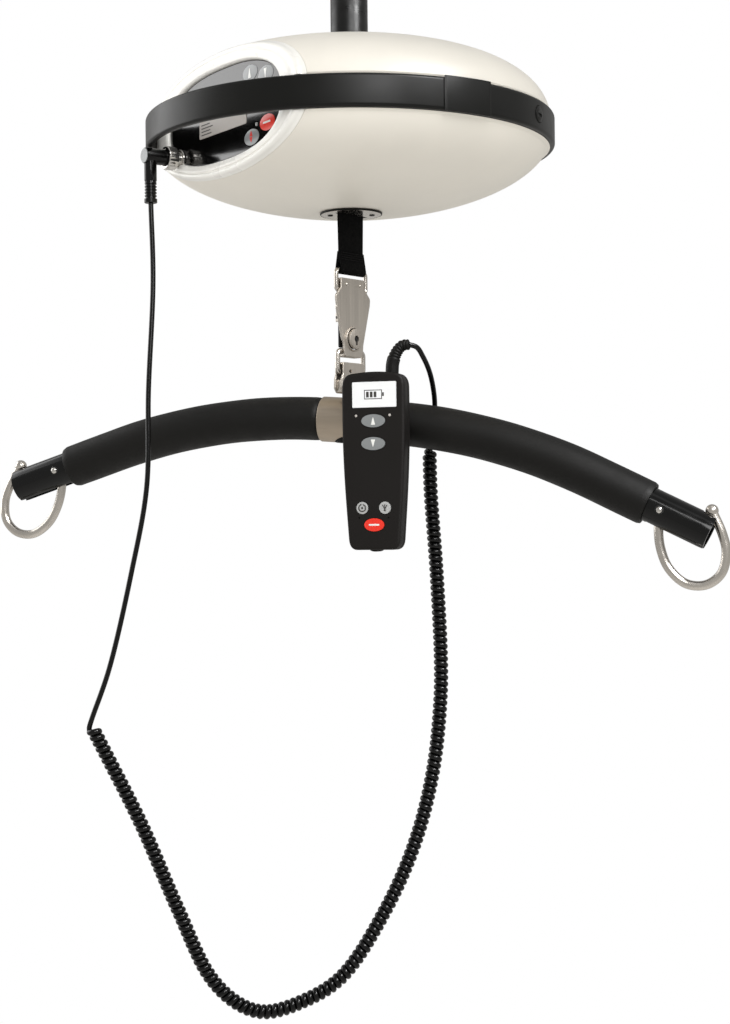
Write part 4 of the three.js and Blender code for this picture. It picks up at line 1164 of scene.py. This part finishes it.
def build_round_key_marks(mark_y):
    open_ring = revolve(box_outline(2.5, 3.5, mark_y, mark_y + 0.35, 0.05, 2), 48)
    gap = brick(-0.6, 0.6, mark_y - 1, mark_y + 1, 1.5, 5, 0.2, 0.05)
    x, z = HAND_KEYS["handset_light_key"][:2]
    piece("handset_light_symbol", moved(open_ring, ALONG_Y), HAND @ shift(x, 0, z), "print",
          "handset_light_key", cuts=[gap])
    dot = drum_y(1.0, mark_y, mark_y + 0.35, 0.05, 24)
    piece("handset_light_dot", dot, HAND @ shift(x, 0, z), "print", "handset_light_key")
    x, z = HAND_KEYS["handset_return_key"][:2]
    rays = []
    for degrees in (-28, 0, 28):
        ray = brick(-0.4, 0.4, mark_y, mark_y + 0.35, -2.6, 3.4, 0.3, 0.05)
        rays.append(moved(ray, shift(0, 0, -1.4) @ turn(degrees, "Y") @ shift(0, 0, 1.0)))
    piece("handset_return_symbol", merged(*rays), HAND @ shift(x, 0, z), "print", "handset_return_key")


def build_hand_back():
    """Hanger arm over the foam sleeve, and the ribbed strain relief."""
    centre_y, centre_z, inner, outer = 34.2, 35.6, 20.6, 23.3
    middle, half_t = (inner + outer) / 2, (outer - inner) / 2
    lip = math.radians(-15)
    line = [(centre_y + middle * math.cos(a), centre_z + middle * math.sin(a))
            for a in np.linspace(lip, math.pi, 48)]
    line += [(centre_y - middle, centre_z - d) for d in np.linspace(4, 43.5, 10)]
    line = np.array(line)
    tangent = np.gradient(line, axis=0)
    tangent /= np.linalg.norm(tangent, axis=1)[:, None]
    normal = np.column_stack([-tangent[:, 1], tangent[:, 0]])
    rings = []
    section = box_outline(-4, 13, -half_t, half_t, 0.9, 4)
    for i, ((y, z), (ny, nz)) in enumerate(zip(line, normal)):
        taper = 1 - 0.35 * max(0.0, 1 - i / 3) ** 2
        rings.append(np.column_stack([4.5 + (section[:, 0] - 4.5) * taper, y + ny * section[:, 1] * taper,
                                      z + nz * section[:, 1] * taper]))
    piece("handset_hook_arm", loft(rings), HAND, "handset", "handset", ["handset_hanger"], sharp=50)
    relief = spline([(14.6, 0, 75.5), (15.4, 0, 84.5), (18.6, 0, 93), (24.0, 0, 98.8), (30.4, 0, 99.6)], 150)
    s = arc_length(relief)
    ribs = 5.0 - 0.6 * (0.5 - 0.5 * np.cos(2 * math.pi * (s - 13.0) / 2.6)) ** 1.5
    taper = 1 - 0.16 * np.clip((s - 13) / (s[-1] - 13), 0, 1)
    radii = np.where(s < 13, 5.7, (ribs + 0.5) * taper)
    radii[-3:] = [4.2, 3.6, 2.6]
    piece("handset_relief_ribs", sweep(relief, radii, 28), HAND, "matte", "handset",
          ["handset_strain_relief"], sharp=60)


# ------------------------------------------------------------ cords


CORD_PATH = [(-173.5, -31.2, -61), (-172, -33, -130), (-176, -40, -225), (-178, -43.5, -309),
             (-191.5, -44, -381), (-212, -42, -465), (-227.5, -40.5, -508)]
COIL_PATH = [(-225.8, -40, -517), (-186, -37, -598.5), (-156, -33, -671.5), (-128, -29, -733),
             (-104, -27, -756.5), (-82, -25, -764), (-52, -23, -757), (-16, -20, -736.5),
             (24.7, -16, -677), (51.6, -12, -617), (67.3, -7, -556.5), (74.2, -2, -497.4),
             (75.2, 2, -462.5), (72.3, 7, -383), (68, 10, -312), (67.4, 10, -275.7)]
LEAD_PATH = [(48.4, -50.6, -188.8), (55.2, -47.6, -190.8), (61, -39, -198.5), (67, -27, -211),
             (71, -13, -228), (72, -2, -243), (70.8, 6, -257), (68, 9.7, -269), (67.4, 10, -276.5)]


def coil_strand():
    """Axis and centreline of the coiled strand: a left-handed helix that starts at its left edge."""
    per_turn = 18
    rough_line = spline(COIL_PATH, 600)
    length = arc_length(rough_line)[-1]
    turns = round(length / COIL_PITCH)
    line = resampled(rough_line, turns * per_turn + 1)
    _, n, b = carried_frames(line)
    s = np.linspace(0, turns, len(line))
    radius = (COIL_R - COIL_WIRE) * np.clip((turns - s) / 0.8, 0.05, 1)
    left = math.atan2(-b[0][0], -n[0][0])
    angle = left - 2 * math.pi * s
    strand = line + radius[:, None] * (np.cos(angle)[:, None] * n + np.sin(angle)[:, None] * b)
    return line, strand


def build_cords():
    sides = 12
    line, strand = coil_strand()
    turn_in = strand[0] + [-0.6, 0.8, 3.0]
    straight = spline(CORD_PATH + [turn_in, strand[0] + [0.1, 0.2, -0.4], strand[2]], 200)
    piece("control_cord_run", sweep(straight, CORD_R, 16), HOIST, "cord", "hoist", ["control_cord"])
    tube_points, _ = sweep(strand, COIL_WIRE, sides, caps=False)
    # Split where the coil passes from one body's reach to the next one's.
    lowest = int(np.argmin(line[:, 2]))
    rising = np.arange(len(line)) > lowest
    marks = [0]
    for height in (-677, -556.5, -462.5):
        marks.append(int(np.argmax(rising & (line[:, 2] > height))))
    marks.append(len(line) - 1)
    for part, (i0, i1) in enumerate(zip(marks, marks[1:])):
        rings = tube_points.reshape(-1, sides, 3)[i0:i1 + 1]
        obj = piece(f"coil_cord_{part + 1}", loft(rings), HOIST, "cord", None,
                    ["coil_cord"] if part == 0 else (), sharp=70)
        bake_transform(obj)
    lead = piece("handset_lead_run", sweep(spline(LEAD_PATH, 90), CORD_R, 16), HOIST, "cord", None,
                 ["handset_lead"])
    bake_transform(lead)


# ------------------------------------------------------------ carried-over CAD nodes


INNER_LOOKS = {
    "zinc": ["chassis_cross_plate", "chassis_plate_left", "chassis_plate_right", "motor_bracket",
             "strap_drum"],
    "rod": ["drum_shaft", "drum_gear", "drive_pinion", "gearbox"],
    "gloss": ["drive_motor"],
    "webbing": ["wound_webbing"],
    "board": ["circuit_board", "handset_board"],
    "battery": ["battery_pack"],
}


def dress_cad_nodes():
    for look, names in INNER_LOOKS.items():
        for name in names:
            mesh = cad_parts[name].data
            mesh.materials.clear()
            mesh.materials.append(LOOK[look])


# ------------------------------------------------------------ stage, light and camera


def build_world():
    """White backdrop for the camera; softer light from above than from below."""
    world = bpy.data.worlds.new("studio")
    bpy.context.scene.world = world
    world.use_nodes = True
    nodes, links = world.node_tree.nodes, world.node_tree.links
    nodes.clear()
    coords = nodes.new("ShaderNodeTexCoord")
    split = nodes.new("ShaderNodeSeparateXYZ")
    ramp = nodes.new("ShaderNodeValToRGB")
    ramp.color_ramp.elements[0].position = 0.0
    ramp.color_ramp.elements[0].color = (*AMBIENT_LOW, 1)
    ramp.color_ramp.elements[1].position = 1.0
    ramp.color_ramp.elements[1].color = (*AMBIENT_HIGH, 1)
    middle = ramp.color_ramp.elements.new(0.5)
    middle.color = (*AMBIENT_MID, 1)
    half = nodes.new("ShaderNodeMapRange")
    half.inputs["From Min"].default_value = -1
    path = nodes.new("ShaderNodeLightPath")
    soft = nodes.new("ShaderNodeBackground")
    seen = nodes.new("ShaderNodeBackground")
    seen.inputs["Color"].default_value = (1, 1, 1, 1)
    mix = nodes.new("ShaderNodeMixShader")
    out = nodes.new("ShaderNodeOutputWorld")
    links.new(coords.outputs["Generated"], split.inputs["Vector"])
    links.new(split.outputs["Z"], half.inputs["Value"])
    links.new(half.outputs["Result"], ramp.inputs["Fac"])
    links.new(ramp.outputs["Color"], soft.inputs["Color"])
    links.new(path.outputs["Is Camera Ray"], mix.inputs["Fac"])
    links.new(soft.outputs["Background"], mix.inputs[1])
    links.new(seen.outputs["Background"], mix.inputs[2])
    links.new(mix.outputs["Shader"], out.inputs["Surface"])
    seen.inputs["Strength"].default_value = 1.0
    bpy.context.scene.view_settings.view_transform = "Standard"


# The world's colour from straight below, level and straight above.
AMBIENT_LOW = (0.56, 0.545, 0.52)
AMBIENT_MID = (0.50, 0.495, 0.48)
AMBIENT_HIGH = (0.42, 0.42, 0.42)

CAMERA_AT, CAMERA_PITCH, CAMERA_ROLL, CAMERA_LENS = (0.0095, -1.62, -0.518), 90.59, -0.6, 64.5

# name: position, target, size in metres, power in watts, kinds of ray that don't see it
SOFTBOXES = {
    "left_box": ((-1.65, 0.6, 0.2), (0.0, 0.0, -0.2), 1.5, 16, ()),
    "top_box": ((0.2, -0.7, 1.9), (0.0, 0.0, -0.3), 1.4, 3, ()),
    "sheen_box": ((1.6, -1.4, 1.3), (0.3, 0.0, -0.5), 0.9, 80, ("visible_diffuse",)),
    "side_box": ((-1.8, -1.1, -0.3), (0.0, 0.0, -0.2), 1.0, 9, ("visible_glossy",)),
    "right_box": ((1.7, -1.2, -0.7), (0.0, 0.0, -0.2), 0.8, 7, ("visible_glossy",)),
    "front_box": ((0.6, -2.4, 0.8), (0.0, 0.0, -0.3), 1.1, 32, ()),
}


def look_at(position, target):
    direction = Vector(target) - Vector(position)
    return direction.to_track_quat("-Z", "Y").to_matrix().to_4x4()


def build_lights():
    for name, (position, target, size, power, unlit) in SOFTBOXES.items():
        data = bpy.data.lights.new(name, "AREA")
        data.shape, data.size, data.energy = "SQUARE", size, power
        light = bpy.data.objects.new(name, data)
        light.matrix_world = Matrix.Translation(position) @ look_at(position, target)
        bpy.context.scene.collection.objects.link(light)
        for rays in unlit:
            setattr(light, rays, False)


def build_floor():
    """Plain pale floor, well below the lowest reach of the strap."""
    radius, level, sides = 7.0, -3.1, 128
    turns = [2 * math.pi * i / sides for i in range(sides)]
    points = [(radius * math.cos(t), radius * math.sin(t), level) for t in turns]
    mesh = bpy.data.meshes.new("floor")
    mesh.from_pydata(points, [], [range(sides)])
    floor = bpy.data.objects.new("floor", mesh)
    look = Finish("floor_pale", (238, 236, 232), 0.8)
    look.shade_from(look.speckle(3), 0.98, 1.02)
    look.set("Emission Color", (1.0, 0.985, 0.96, 1.0))
    look.set("Emission Strength", 0.2)
    mesh.materials.append(look.material)
    bpy.context.scene.collection.objects.link(floor)


def build_camera():
    data = bpy.data.cameras.new("camera")
    data.sensor_width, data.lens = 36.0, CAMERA_LENS
    data.clip_end = 50
    camera = bpy.data.objects.new("camera", data)
    camera.matrix_world = Matrix.Translation(CAMERA_AT) @ turn(CAMERA_PITCH, "X") @ turn(CAMERA_ROLL, "Z")
    bpy.context.scene.collection.objects.link(camera)
    bpy.context.scene.camera = camera


build_shells()
build_bezel()
build_ring()
build_panel()
build_socket_and_plug()
build_tube()
build_outlet()
build_strap()
build_coupler()
build_hanger()
build_bar()
build_handset()
build_cords()
dress_cad_nodes()
build_world()
build_lights()
build_floor()
build_camera()

bpy.context.view_layer.update()
